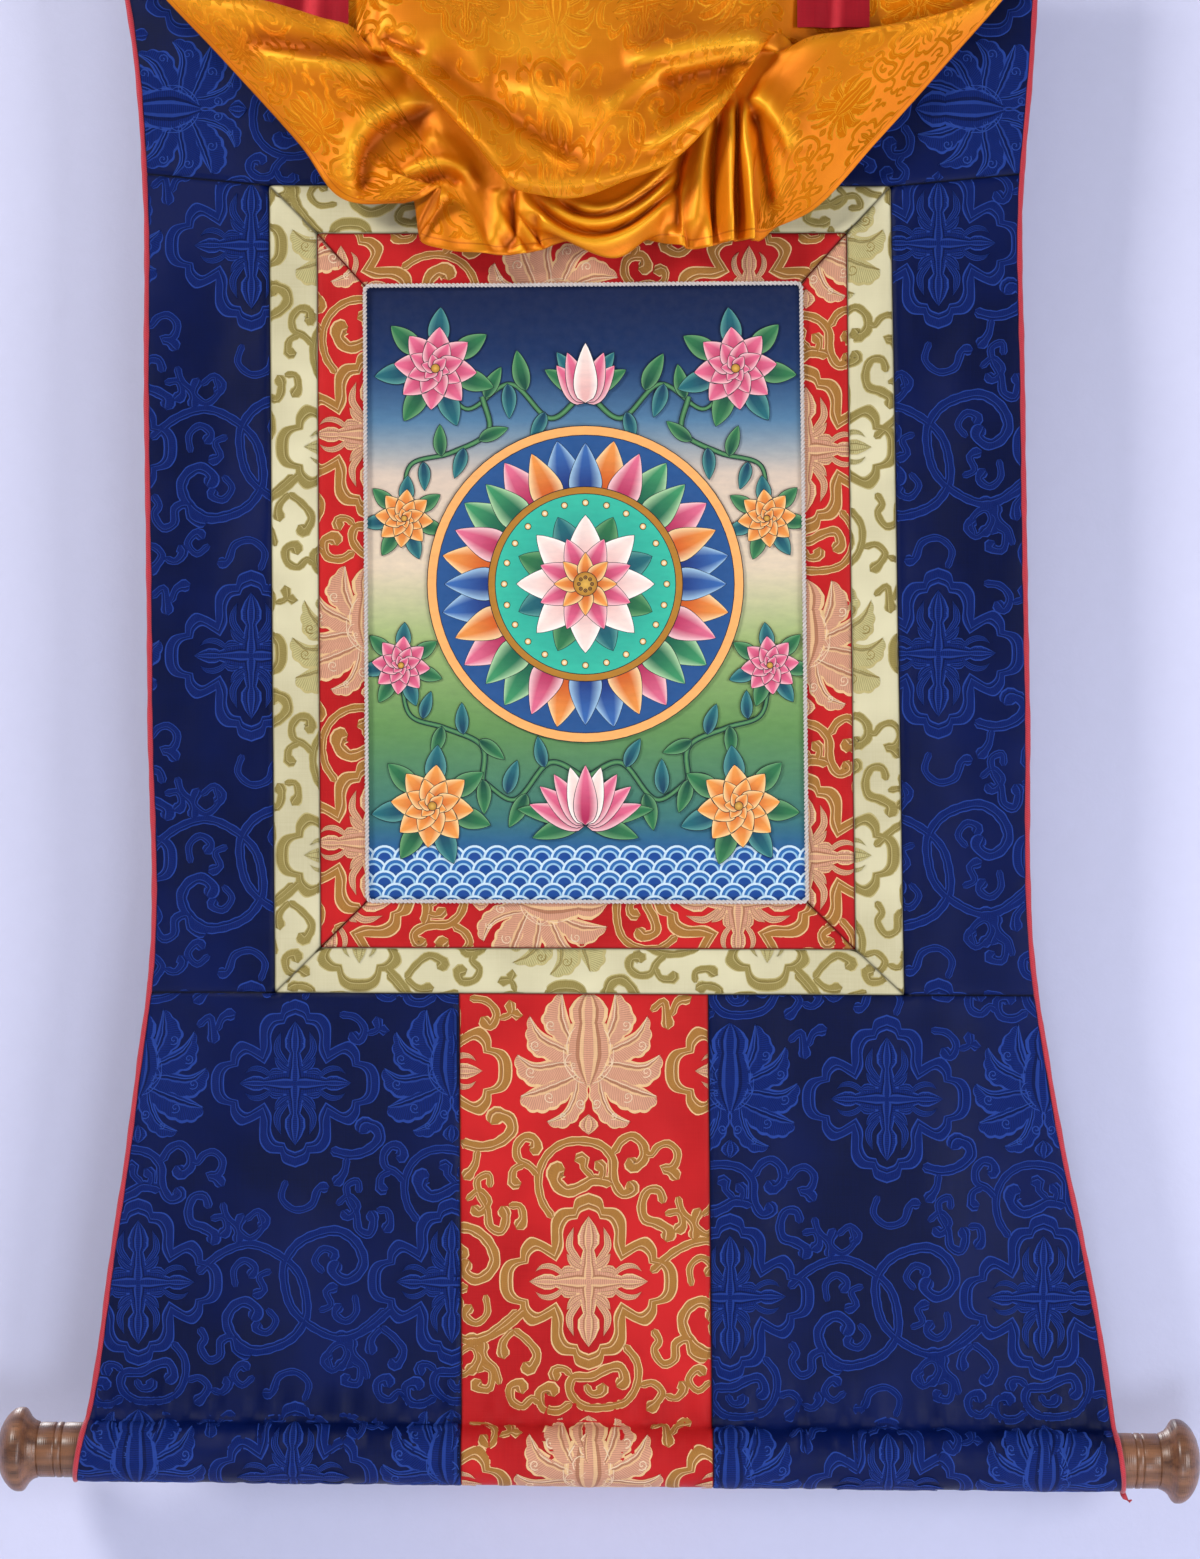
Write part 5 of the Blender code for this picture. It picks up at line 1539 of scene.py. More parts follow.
def tube_quads(rings, sides, closed, start=0):
    spans = rings if closed else rings - 1
    j, i = np.meshgrid(np.arange(spans), np.arange(sides), indexing="ij")
    j, i = j.ravel(), i.ravel()
    nxt = (j + 1) % rings
    k = (i + 1) % sides
    return np.stack((j * sides + i, j * sides + k, nxt * sides + k, nxt * sides + i), axis=1) + start


def tube_uv(centres, sides):
    along = lengths_along(centres)
    around = np.linspace(0, 6.0, sides, endpoint=False)
    return np.stack(np.meshgrid(around, along), axis=-1).reshape(-1, 2) * MM


def build_binding(name, edge, side):
    """A bound edge down the body's side, round the casing's mouth and out to its loose end."""
    stop = ROD_AXIS_DROP - CASING_START + STITCH_ALONG + math.pi * CASING_RADIUS
    s = np.arange(0.0, stop, BINDING_STEP)
    path = hang(edge(s), s, 0.0)
    if side > 0:
        last = path[-1]
        tail = [last + (x, -ahead, -drop) for x, ahead, drop in BINDING_TAIL]
        path = np.vstack((path, spline([path[-1]] + tail, BINDING_STEP / 2)[1:]))
    along = unit(np.gradient(path, axis=0))
    out = np.tile((float(side), 0.0, 0.0), (len(path), 1))
    out = unit(out - along * (out * along).sum(axis=1)[:, None])
    face = np.cross(along, out) * side
    centres = path + out * BINDING_OUT + face * BINDING_PROUD
    uneven = np.ones(len(path))
    for turn, phase, height in BINDING_WAVES:
        uneven += height * np.sin(np.arange(len(path)) * turn + phase)
    uneven[-len(BINDING_TAPER):] *= BINDING_TAPER
    rings = tube_points(centres, BINDING_SIDES, BINDING_HALF_WIDTH * uneven, BINDING_HALF_DEPTH * uneven,
                        out, face * side)
    quads = tube_quads(len(path), BINDING_SIDES, False)
    count = len(path) * BINDING_SIDES
    points = np.vstack((rings.reshape(-1, 3), centres[:1], centres[-1:]))
    uv = np.vstack((tube_uv(centres, BINDING_SIDES), (0, 0), (0, 0)))
    ends = []
    for i in range(0, BINDING_SIDES, 2):
        k, m = i + 1, (i + 2) % BINDING_SIDES
        ends.append((count, m, k, i))
        base = (len(path) - 1) * BINDING_SIDES
        ends.append((count + 1, base + i, base + k, base + m))
    piece = add_mesh(f"{name}_edge", points, np.vstack((quads, ends)), {"Cloth": uv}, None,
                     (BINDING_THREAD,))
    return dress(piece, name)


def cord_route():
    """The middle line of the cord round the painting, as x and drop, with small round corners."""
    route = []
    corners = np.asarray(INNER_FRAME, float)
    for k in range(4):
        here = corners[k]
        before, after = unit(corners[k - 1] - here), corners[(k + 1) % 4] - here
        length = np.linalg.norm(after)
        after = after / length
        start, stop = here + before * CORD_CORNER, here + after * CORD_CORNER
        t = np.linspace(0, 1, 10)[:, None]
        route.append(mix(mix(start, here, t), mix(here, stop, t), t))
        count = int((length - 2 * CORD_CORNER) / CORD_STEP)
        reach = mix(CORD_CORNER, length - CORD_CORNER, np.arange(1, count) / count)
        route.append(here + after * reach[:, None])
    return np.vstack(route)


def build_cord():
    """Two white strands twisted round each other, all round the painting."""
    route = cord_route()
    ahead = PANEL_THICK / 2 + GAP + CORD_RADIUS
    centres = hang(route[:, 0], route[:, 1], 0.0) * (1, 0, 1)
    centres[:, 1] = -ahead - relief(route[:, 0], route[:, 1]) * CORD_FOLLOWS
    closed = np.vstack((centres[-1:], centres, centres[:1]))
    along = unit(closed[2:] - closed[:-2])
    forward = unit(np.array((0.0, -1.0, 0.0)) - along * (-along[:, 1])[:, None])
    aside = np.cross(forward, along)
    length = np.cumsum(np.linalg.norm(np.diff(closed[:-1], axis=0), axis=1))
    twists = round(length[-1] / CORD_TWIST)
    turn = length / length[-1] * twists * math.tau
    points, quads, uvs = [], [], []
    for strand in (0.0, math.pi):
        swing = (np.cos(turn + strand)[:, None] * aside + np.sin(turn + strand)[:, None] * forward)
        middle = centres + swing * (CORD_RADIUS - CORD_STRAND_RADIUS)
        full = np.full(len(middle), CORD_STRAND_RADIUS)
        rings = tube_points(middle, CORD_SIDES, full, full, aside, forward)
        quads.append(tube_quads(len(middle), CORD_SIDES, True, sum(len(p) for p in points)))
        points.append(rings.reshape(-1, 3))
        uvs.append(tube_uv(middle, CORD_SIDES))
    piece = add_mesh("painting_cord_twist", np.vstack(points), np.vstack(quads),
                     {"Cloth": np.vstack(uvs)}, None, (CORD_THREAD,))
    return dress(piece, "painting_cord")


# ---- turned knobs
def build_knob(name, seat_x, side):
    """An end knob, drawn out of a disc ring by ring as it was turned."""
    bpy.ops.object.select_all(action="DESELECT")
    bpy.ops.mesh.primitive_circle_add(
        vertices=KNOB_SIDES, radius=KNOB_PROFILE[0][1] * MM, fill_type="NGON"
    )
    knob = bpy.context.object
    knob.name = f"{name}_turned"
    bpy.ops.object.mode_set(mode="EDIT")
    bpy.ops.mesh.select_all(action="SELECT")
    for (along, radius), (next_along, next_radius) in zip(KNOB_PROFILE, KNOB_PROFILE[1:]):
        bpy.ops.mesh.extrude_region_move(
            TRANSFORM_OT_translate={"value": (0, 0, (next_along - along) * MM)}
        )
        size = next_radius / radius
        bpy.ops.transform.resize(value=(size, size, 1), center_override=(0, 0, 0))
    bpy.ops.mesh.select_all(action="SELECT")
    bpy.ops.mesh.normals_make_consistent(inside=False)
    bpy.ops.object.mode_set(mode="OBJECT")
    knob.rotation_euler = (0, side * math.pi / 2 + math.atan(ROD_TILT), 0)
    knob.location = (seat_x * MM, 0, -rod_drop(seat_x) * MM)
    bpy.ops.object.transform_apply(location=True, rotation=True, scale=True)
    bpy.ops.object.shade_smooth_by_angle(angle=KNOB_EDGE_ANGLE)
    knob.data.materials.append(WOOD)
    return dress(knob, name)


# ---- silk cover
def crease_shift(layer, x, drop):
    """Forward shift of a layer of the cover at its places by the creases that lie in it."""
    shift = np.zeros_like(x)
    t = np.linspace(0, 1, CREASE_STEPS + 1)
    for kind, x0, drop0, x1, drop1, x2, drop2, left_width, right_width, ahead in CREASE_ROWS:
        if kind != layer:
            continue
        line_x = mix(mix(x0, x1, t), mix(x1, x2, t), t)
        line_drop = mix(mix(drop0, drop1, t), mix(drop1, drop2, t), t)
        run_x, run_drop = np.diff(line_x), np.diff(line_drop)
        squared = run_x ** 2 + run_drop ** 2
        from_x, from_drop = x[:, None] - line_x[:-1], drop[:, None] - line_drop[:-1]
        share = np.clip((from_x * run_x + from_drop * run_drop) / squared, 0, 1)
        away = np.hypot(from_x - share * run_x, from_drop - share * run_drop)
        nearest = away.argmin(axis=1)
        pick = np.arange(len(x))
        past = (nearest + share[pick, nearest]) / CREASE_STEPS
        side = (from_x * run_drop - from_drop * run_x)[pick, nearest]
        width = np.where(side > 0, left_width, right_width)
        fade = smooth_step(np.minimum(past, 1 - past) * CREASE_FADE + CREASE_END)
        shift += ahead * fade * bump(away[pick, nearest] / width, 1.0)
    return shift


def turn_outward(share, column):
    """The unit direction square to a turn's line, in x and drop, away from the folded layers."""
    table = np.asarray(TURN_ROWS, float)
    probes = (max(0.0, share - TURN_PROBE), min(1.0, share + TURN_PROBE))
    start, stop = curve(table[:, 0], table[:, 1:], probes)[:, column:column + 2]
    return unit(np.array((-(stop - start)[1], (stop - start)[0])))


def cover_stations(share):
    """The cover's route from top hem to bottom hem at a share of its width: x, ahead and drop."""
    turns, faces = np.asarray(TURN_ROWS, float), np.asarray(FACE_ROWS, float)
    low_x, low, high_x, high, upper, face, below, above = curve(turns[:, 0], turns[:, 1:], share)[0]
    lower = curve(faces[:, 0], faces[:, 1:], share)[0].reshape(4, 3)
    top_x = mix(COVER_TOP_X[0], COVER_TOP_X[1], share)
    folded = max(-1.0, min(1.0, (low - high) / FULL_FOLD))
    low_x_out, low_out = turn_outward(share, 0) * max(LEAST_BEND, abs(upper - below) / 2)
    high_x_out, high_out = turn_outward(share, 2) * max(LEAST_BEND, abs(above - face) / 2)
    bow = COVER_BOW * (upper - COVER_TOP_AHEAD)
    half_way = (mix(top_x, low_x, 0.5), mix(COVER_TOP_AHEAD, upper, 0.5) + bow, mix(COVER_HEM_TOP, low, 0.5))
    route = [
        (top_x, COVER_TOP_AHEAD, COVER_HEM_TOP),
        half_way,
        (low_x - low_x_out, upper, low - low_out),
        (low_x, mix(upper, below, 0.5), low),
        (low_x - low_x_out * folded, below, low - low_out * folded),
        (high_x + high_x_out * folded, above, high + high_out * folded),
        (high_x, mix(above, face, 0.5), high),
        (high_x + high_x_out, face, high + high_out),
    ]
    return np.array(route + [(x, ahead, drop) for x, drop, ahead in lower])


def pleat_shift(share, above_hem):
    """Sideways and forward shift of the lowest layer by its pleats."""
    sideways, ahead = np.zeros_like(above_hem), np.zeros_like(above_hem)
    for middle, half_width, aside, forward, rise in PLEAT_ROWS:
        away = (share - middle) / half_width
        if abs(away) < 1.0:
            swell = math.cos(away * math.pi / 2) ** 2 * smooth_step(1.0 - above_hem / rise)
            sideways += aside * swell
            ahead += forward * swell
    return sideways, ahead


def cover_column(share):
    """The cover's middle surface from top hem to bottom hem at a share of its width."""
    route = cover_stations(share)
    knots = knots_along(route)
    along = np.concatenate([k + np.arange(count) / count for k, count in enumerate(COVER_STEPS)])
    along = np.append(along, len(COVER_STEPS))
    x, ahead, drop = curve(knots, route, np.interp(along, np.arange(len(knots)), knots)).T
    in_upper = smooth_step((UPPER_UNTIL + 2 - along) / 2)
    in_face = smooth_step((along - FACE_FROM + 2) / 2)
    aside, forward = pleat_shift(share, route[-1, 2] - drop)
    return x, ahead, drop, in_upper, in_face, aside, forward


def evened(grid):
    """Each place of a grid moved to the middle of itself and its neighbours."""
    around = np.pad(grid, ((1, 1), (1, 1), (0, 0)), mode="edge")
    total = 2 * around[1:-1, 1:-1] + around[:-2, 1:-1] + around[2:, 1:-1]
    return (total + around[1:-1, :-2] + around[1:-1, 2:]) / 6


class Cover:
    """The gathered cover's surface, read by place on its flat cloth."""

    def __init__(self):
        spread = [0.0]
        for stop, count in COVER_SPREAD:
            spread += list(mix(spread[-1], stop, np.arange(1, count + 1) / count))
        self.shares = np.array(spread)
        parts = np.array([cover_column(share) for share in self.shares])
        x, ahead, drop, in_upper, in_face, aside, forward = parts.transpose(1, 2, 0)
        shape = x.shape
        for layer, share in (("upper", in_upper), ("face", in_face)):
            shift = crease_shift(layer, x.ravel(), drop.ravel()).reshape(shape)
            ahead = ahead + share * shift
        self.points = np.stack((x + in_face * aside, -ahead - in_face * forward, -drop), axis=-1)
        across = np.gradient(self.points, axis=1)
        down = np.gradient(self.points, axis=0)
        self.normals = unit(np.cross(down, across))
        for _ in range(COVER_SOFTENINGS):
            self.normals = unit(evened(self.normals))
        lengths = np.linalg.norm(np.diff(self.points, axis=0), axis=-1)
        self.along = np.vstack((np.zeros(shape[1]), np.cumsum(lengths, axis=0)))
        rows = [sum(COVER_STEPS[:stretch]) for stretch in (HIDDEN_FROM, HIDDEN_UNTIL, FACE_FROM)]
        self.hidden_from, self.hidden_until, self.face_from = (
            self.along[row] / self.along[-1] * COVER_LENGTH for row in rows)
        # The cover is painted darker in the hollows of its folds, a painted shade, and lighter on their
        # ridges, a painted highlight, by how far an evened copy of it lies from each place.
        even = self.points
        for _ in range(FOLD_EVENINGS):
            even = evened(even)
        fold_shade_and_highlight = ((even - self.points) * self.normals).sum(axis=-1) / FOLD_DEPTH
        from_side = np.minimum(self.shares, 1 - self.shares) * COVER_WIDTH
        from_end = np.minimum(self.along, self.along[-1] - self.along)
        hem = np.minimum(from_side, from_end) / HEM_REACH
        self.shade = np.clip(np.stack((fold_shade_and_highlight, -fold_shade_and_highlight, hem), axis=-1), 0, 1)

    def at(self, flat_x, flat_y, lift):
        """Points above the cover's front face at places on its flat cloth, and their shade."""
        column = np.interp(flat_x / COVER_WIDTH, self.shares, np.arange(len(self.shares)))
        c = np.clip(column.astype(int), 0, len(self.shares) - 2)
        f = (column - c)[:, None]
        marks = mix(self.along[:, c].T, self.along[:, c + 1].T, f)
        past = flat_y / COVER_LENGTH * marks[:, -1]
        r = np.clip((marks <= past[:, None]).sum(axis=1) - 1, 0, marks.shape[1] - 2)
        pick = np.arange(len(r))
        g = ((past - marks[pick, r]) / (marks[pick, r + 1] - marks[pick, r]))[:, None]
        g = np.clip(g, 0, 1)

        def read(grid):
            return mix(mix(grid[r, c], grid[r, c + 1], f), mix(grid[r + 1, c], grid[r + 1, c + 1], f), g)

        points = read(self.points) + unit(read(self.normals)) * (SILK_THICK / 2 + lift)[:, None]
        return points, read(self.shade)


def build_cover():
    """The gathered silk, and the damask figure woven in its face."""
    cover = Cover()
    half = cover.normals * SILK_THICK / 2
    flat = np.stack(np.broadcast_arrays(cover.shares * COVER_WIDTH, cover.along), axis=-1)
    piece = closed_sheet("silk_cover_folds", cover.points + half, cover.points - half, flat,
                         (SILK, SILK), cover.shade, False)
    dress(piece, "silk_cover")

    def clip(x, y):
        return (np.clip(x, COVER_SELVAGE, COVER_WIDTH - COVER_SELVAGE),
                np.clip(y, COVER_SELVAGE, COVER_LENGTH - COVER_SELVAGE))

    box = (0.0, COVER_WIDTH, 0.0, COVER_LENGTH)
    x, y, bands, kinds, lifts, quads = lay_figure(COVER_WEAVING, box, clip)
    share = x / COVER_WIDTH
    low = y > np.interp(share, cover.shares, cover.face_from)
    plain = low & (share > PLAIN_FACE[0]) & (share < PLAIN_FACE[1])
    inside = y > np.interp(share, cover.shares, cover.hidden_from)
    inside &= y < np.interp(share, cover.shares, cover.hidden_until)
    quads = quads[~plain[quads].any(axis=1) & ~inside[quads].all(axis=1)]
    points, shade = cover.at(x, y, lifts * COVER_FIGURE_RISE)
    tones = np.stack((kinds, shade[:, 0], shade[:, 1], kinds * 0 + 1), axis=1)
    uvs = {"Cloth": np.stack((x, y), axis=1) * MM, "Band": bands}
    damask = add_mesh("silk_cover_damask", points, quads, uvs, {"Kind": tones}, (SILK_FIGURE,))
    dress(damask)


# ---- ribbons
def build_ribbon(name, left, right, foot):
    """A ribbon from the top edge, in front of the cover's back layer, with soft folds."""
    share, t = np.meshgrid(np.linspace(0, 1, RIBBON_COLUMNS), np.linspace(0, 1, RIBBON_ROWS))
    ripple = RIBBON_RIPPLE * t * np.sin(share * math.tau)
    for across, phase, height in RIBBON_WAVES:
        wave = np.sin(share * math.tau / across + phase + RIBBON_LEAN * t)
        ripple += height * wave * np.sin(math.pi * share)
    ahead = mix(RIBBON_TOP_AHEAD, RIBBON_FOOT_AHEAD, t) + ripple
    x, drop = mix(left, right, share), mix(COVER_HEM_TOP, foot, t)
    middle = np.stack((x, -ahead, -drop), axis=-1)
    half = unit(np.cross(np.gradient(middle, axis=0), np.gradient(middle, axis=1))) * SILK_THICK / 2
    flat = np.stack((x - left, drop), axis=-1)
    piece = closed_sheet(f"{name}_silk", middle + half, middle - half, flat, (RIBBON, RIBBON))
    dress(piece, name)


# ---- painting
# How far the first stroke lies ahead of the sheet's middle, and each next one ahead of the last.
PAINT_LIFT = PAINTING_THICK / 2 + 0.03
PAINT_ORDER_LIFT = 0.0015
# The width of the dark lines round petals and small discs, and round the medallion's rings.
PAINT_LINE, RING_LINE = 0.45, 0.5
RING_SIDES = 72
PETAL_ROWS, PETAL_COLUMNS = 14, 7
# A petal is widest at half of its length for 1, and nearer its root for less.
PETAL_FULLNESS, LEAF_FULLNESS, ROYAL_FULLNESS = 0.62, 0.8, 0.5
SPOT_RINGS = 5
SPOT_MIDDLE = 0.01
STEM_STEP = 2.5
STEM_WIDTHS = (3.2, 2.6, 2.0)


class Paintwork:
    """Flat strokes of paint, each a grid of places and tones, laid one over the other."""

    def __init__(self):
        self.places, self.tones, self.lifts, self.quads = [], [], [], []
        self.count = 0
        self.order = 0

    def add_grid(self, places, tones):
        rows, columns = places.shape[:2]
        tones = np.broadcast_to(tones, (rows, columns, 3))
        flat = places.reshape(-1, 2)
        self.quads.append(facing_front(flat, grid_quads(rows, columns)) + self.count)
        self.places.append(flat)
        self.tones.append(tones.reshape(-1, 3))
        self.lifts.append(np.full(rows * columns, PAINT_LIFT + self.order * PAINT_ORDER_LIFT))
        self.count += rows * columns
        self.order += 1

    def petal(self, x, y, heading, length, width, tones, fullness, bend=0.0):
        """A petal or leaf from its root in its tones, drawn with a dark outline."""
        base, tip, rim = tones
        angle = math.radians(heading)
        for grow, columns in ((PAINT_LINE, 2), (0.0, PETAL_COLUMNS)):
            t, a = np.meshgrid(np.linspace(0, 1, PETAL_ROWS), np.linspace(-1, 1, columns), indexing="ij")
            half = (width / 2 + grow) * np.sin(np.pi * t ** fullness) ** 0.8
            out = t * (length + 2 * grow) - grow
            side = a * half + bend * length * (t * t)
            places = np.stack((x + out * math.cos(angle) - side * math.sin(angle),
                               y + out * math.sin(angle) + side * math.cos(angle)), axis=-1)
            shade = PAINT_DARK
            if not grow:
                edge = smooth_step((np.abs(a) - 0.45) / 0.5)[..., None] * 0.85
                shade = mix(mix(base, tip, smooth_step(t)[..., None]), rim, edge)
            self.add_grid(places, shade)

    def round_spot(self, x, y, radius, middle_tone, edge_tone, sides):
        turn = np.linspace(0, math.tau, sides + 1)
        share = np.linspace(0, 1, SPOT_RINGS)
        places = places_round(x, y, turn, np.linspace(SPOT_MIDDLE, radius, SPOT_RINGS))
        self.add_grid(places, mix(middle_tone, edge_tone, share[None, :, None]))

    def disc(self, x, y, radius, middle_tone, edge_tone, sides, line=PAINT_LINE):
        """A round spot with a dark line round it."""
        self.round_spot(x, y, radius + line, PAINT_DARK, PAINT_DARK, sides)
        self.round_spot(x, y, radius, middle_tone, edge_tone, sides)

    def beads(self, x, y, count, reach, radius, middle_tone, edge_tone, sides):
        """Small discs all round."""
        for k in range(count):
            angle = math.tau * k / count
            self.disc(x + reach * math.cos(angle), y + reach * math.sin(angle), radius,
                      middle_tone, edge_tone, sides)

    def stem(self, points):
        """A stem along a smooth line, with a dark line on both sides."""
        line = spline(points, STEM_STEP)
        aside = square_to(line)[:, None]
        half = half_widths(STEM_WIDTHS, len(line))[:, None, None]
        a = np.linspace(-1, 1, 5)[None, :, None]
        self.add_grid(line[:, None] + aside * a[:, ::4] * (half + PAINT_LINE), PAINT_DARK)
        self.add_grid(line[:, None] + aside * a * half, mix(*STEM_TONES, np.abs(a)))

    def wheel(self, x, y, count, inner, length, width, tones, turn=0.0, fullness=PETAL_FULLNESS):
        """Petals all round, in the tones in turn."""
        for k in range(count):
            heading = turn + 360 * k / count
            angle = math.radians(heading)
            self.petal(x + inner * math.cos(angle), y + inner * math.sin(angle), heading, length, width,
                       tones[k % len(tones)], fullness)

    def bloom(self, x, y, size, tones, turn):
        """A full flower with leaves round it."""
        self.wheel(x, y, 7, size * 0.5, size * 0.95, size * 0.5, LEAF_TONES, turn + 12, LEAF_FULLNESS)
        self.wheel(x, y, 8, size * 0.2, size * 0.78, size * 0.62, tones, turn)
        self.wheel(x, y, 8, size * 0.1, size * 0.56, size * 0.44, tones, turn + 22.5)
        self.wheel(x, y, 6, 0.0, size * 0.34, size * 0.28, tones, turn + 10)
        self.disc(x, y, size * 0.1, GOLD_TONE, OCHRE_TONE, 16)


def seen(red, green, blue):
    return np.array(tone(red, green, blue)[:3])


PAINT_DARK = seen(26, 30, 44)
GOLD_TONE, OCHRE_TONE = seen(226, 178, 84), seen(176, 120, 44)
TEAL_TONE, DEEP_TEAL = seen(58, 186, 158), seen(30, 128, 122)
ORANGE_TONE = seen(232, 132, 62)
# The middle and the edges of a stem.
STEM_TONES = (seen(96, 150, 96), seen(30, 84, 62))
LEAF_TONES = (
    (seen(24, 74, 60), seen(50, 118, 74), seen(112, 166, 112)),
    (seen(22, 62, 88), seen(36, 104, 112), seen(96, 160, 150)),
)
PINK_TONES = ((seen(176, 40, 84), seen(228, 108, 140), seen(250, 206, 206)),)
FLAME_TONES = ((seen(204, 92, 36), seen(240, 156, 76), seen(252, 222, 160)),)
ROYAL_TONES = (
    (seen(30, 52, 118), seen(58, 104, 170), seen(170, 204, 226)),
    (seen(176, 44, 86), seen(226, 110, 140), seen(250, 212, 210)),
    (seen(24, 92, 70), seen(66, 150, 100), seen(186, 220, 170)),
    (seen(204, 88, 34), seen(238, 150, 74), seen(250, 220, 166)),
)
PALE_TONES = ((seen(232, 176, 170), seen(246, 224, 212), seen(255, 250, 240)),)
# The painted ground from top to bottom: share down, then its colour.
GROUND_ROWS = (
    (0.00, 12, 28, 66),
    (0.12, 22, 48, 92),
    (0.22, 84, 124, 156),
    (0.31, 218, 196, 176),
    (0.46, 224, 204, 176),
    (0.58, 156, 178, 112),
    (0.72, 98, 142, 82),
    (0.86, 62, 116, 110),
    (0.93, 32, 84, 150),
    (1.00, 22, 62, 128),
)
PAINTING_MIDDLE = (-1.0, 428.0)
# Stems of the corner flowers, one side: the middle line's points as x and drop.
STEMS = (
    ((0, 304), (-22, 322), (-48, 300), (-76, 316), (-92, 296)),
    ((-66, 308), (-62, 330), (-86, 344), (-112, 352), (-116, 376)),
    ((0, 552), (-22, 542), (-46, 566), (-74, 550), (-94, 566)),
    ((-66, 554), (-66, 532), (-90, 520), (-112, 512), (-118, 488)),
)
# Corner flowers, one side: x, drop, size, tones.
BLOOMS = (
    (-96, 290, 27, PINK_TONES),
    (-116, 386, 19, FLAME_TONES),
    (-98, 570, 27, FLAME_TONES),
    (-118, 480, 19, PINK_TONES),
)
# Single leaves on the stems, one side: x, drop, heading, length.
STEM_LEAVES = (
    (-38, 304, -110, 26), (-50, 300, 80, 22), (-64, 309, -70, 22), (-26, 318, 110, 20),
    (-68, 336, -30, 20), (-78, 341, 100, 20), (-92, 346, -100, 20), (-104, 350, 80, 18),
    (-38, 562, 110, 24), (-50, 562, -80, 22), (-66, 553, 80, 22), (-26, 545, -110, 20),
    (-68, 528, 30, 20), (-78, 524, -100, 20), (-92, 519, 100, 20), (-104, 514, -80, 18),
)
# The waves at the foot: the middles of their rows, how far apart they lie in a row, as a share of
# their radius, and how many lie on each side of the middle.
WAVE_ROW_DROPS = (604.0, 612.0, 620.0, 628.0, 636.0)
WAVE_RADIUS = 9.0
WAVE_APART = 1.6
WAVES_BESIDE = 10
# The bands of a wave: share of its radius, then its tone.
WAVE_TONES = (
    (1.0, seen(198, 220, 232)),
    (0.84, seen(44, 104, 168)),
    (0.62, seen(150, 190, 216)),
    (0.48, seen(24, 70, 142)),
)
GROUND_COLUMNS, GROUND_LINES = 24, 60
PAINT_INSET = 0.2
PAINTING_STEP = 5.0


def paint_ground(work):
    share = np.linspace(0, 1, GROUND_LINES)
    rows = np.asarray(GROUND_ROWS, float)
    mixed = [np.interp(share, rows[:, 0], rows[:, k]) for k in (1, 2, 3)]
    tones = np.array([seen(*rgb) for rgb in zip(*mixed)])
    across, down = np.meshgrid(np.linspace(0, 1, GROUND_COLUMNS), share)
    x, s = PAINTING.settle(across, down)
    work.add_grid(np.stack((x, s), axis=-1), tones[:, None, :])


def paint_waves(work):
    """Rows of scale-like waves along the foot."""
    turn = np.linspace(math.pi, math.tau, 12)
    for row, drop in enumerate(WAVE_ROW_DROPS):
        for k in range(-WAVES_BESIDE, WAVES_BESIDE + 1):
            x = (k + 0.5 * (row % 2)) * WAVE_RADIUS * WAVE_APART
            for share, blue in WAVE_TONES:
                reach = np.linspace(0, WAVE_RADIUS * share, 3)
                work.add_grid(places_round(x, drop, turn, reach), blue)


def paint_medallion(work):
    x, y = PAINTING_MIDDLE
    work.disc(x, y, 101, ORANGE_TONE, seen(246, 176, 104), RING_SIDES, RING_LINE)
    work.disc(x, y, 95, seen(24, 48, 96), seen(40, 84, 140), RING_SIDES, RING_LINE)
    work.wheel(x, y, 16, 60, 33, 24, ROYAL_TONES[::-1], 11.25, ROYAL_FULLNESS)
    work.wheel(x, y, 16, 56, 34, 21, ROYAL_TONES, 0.0, ROYAL_FULLNESS)
    work.disc(x, y, 62, GOLD_TONE, OCHRE_TONE, RING_SIDES, RING_LINE)
    work.disc(x, y, 57.5, DEEP_TEAL, TEAL_TONE, RING_SIDES, RING_LINE)
    work.beads(x, y, 24, 52, 1.8, seen(250, 240, 220), GOLD_TONE, 10)
    work.wheel(x, y, 8, 14, 32, 19, LEAF_TONES, 22.5, LEAF_FULLNESS)
    work.wheel(x, y, 8, 8, 36, 22, PALE_TONES)
    work.wheel(x, y, 8, 6, 25, 15, PINK_TONES, 22.5)
    work.wheel(x, y, 8, 4, 16, 10, FLAME_TONES)
    work.disc(x, y, 7.5, GOLD_TONE, OCHRE_TONE, 30)
    work.beads(x, y, 8, 4.2, 0.9, PAINT_DARK, OCHRE_TONE, 8)


def paint_sprays(work):
    """Stems, leaves and flowers in the four corners, mirrored on the two sides."""
    middle = PAINTING_MIDDLE[0]
    for flip in (1, -1):
        for points in STEMS:
            work.stem([(flip * x + middle, drop) for x, drop in points])
        for k, (x, drop, heading, length) in enumerate(STEM_LEAVES):
            turned = heading if flip > 0 else 180 - heading
            work.petal(flip * x + middle, drop, turned, length, length * 0.42, LEAF_TONES[k % 2],
                       LEAF_FULLNESS, 0.12)
        for x, drop, size, tones in BLOOMS:
            work.bloom(flip * x + middle, drop, size, tones, 6 * flip)


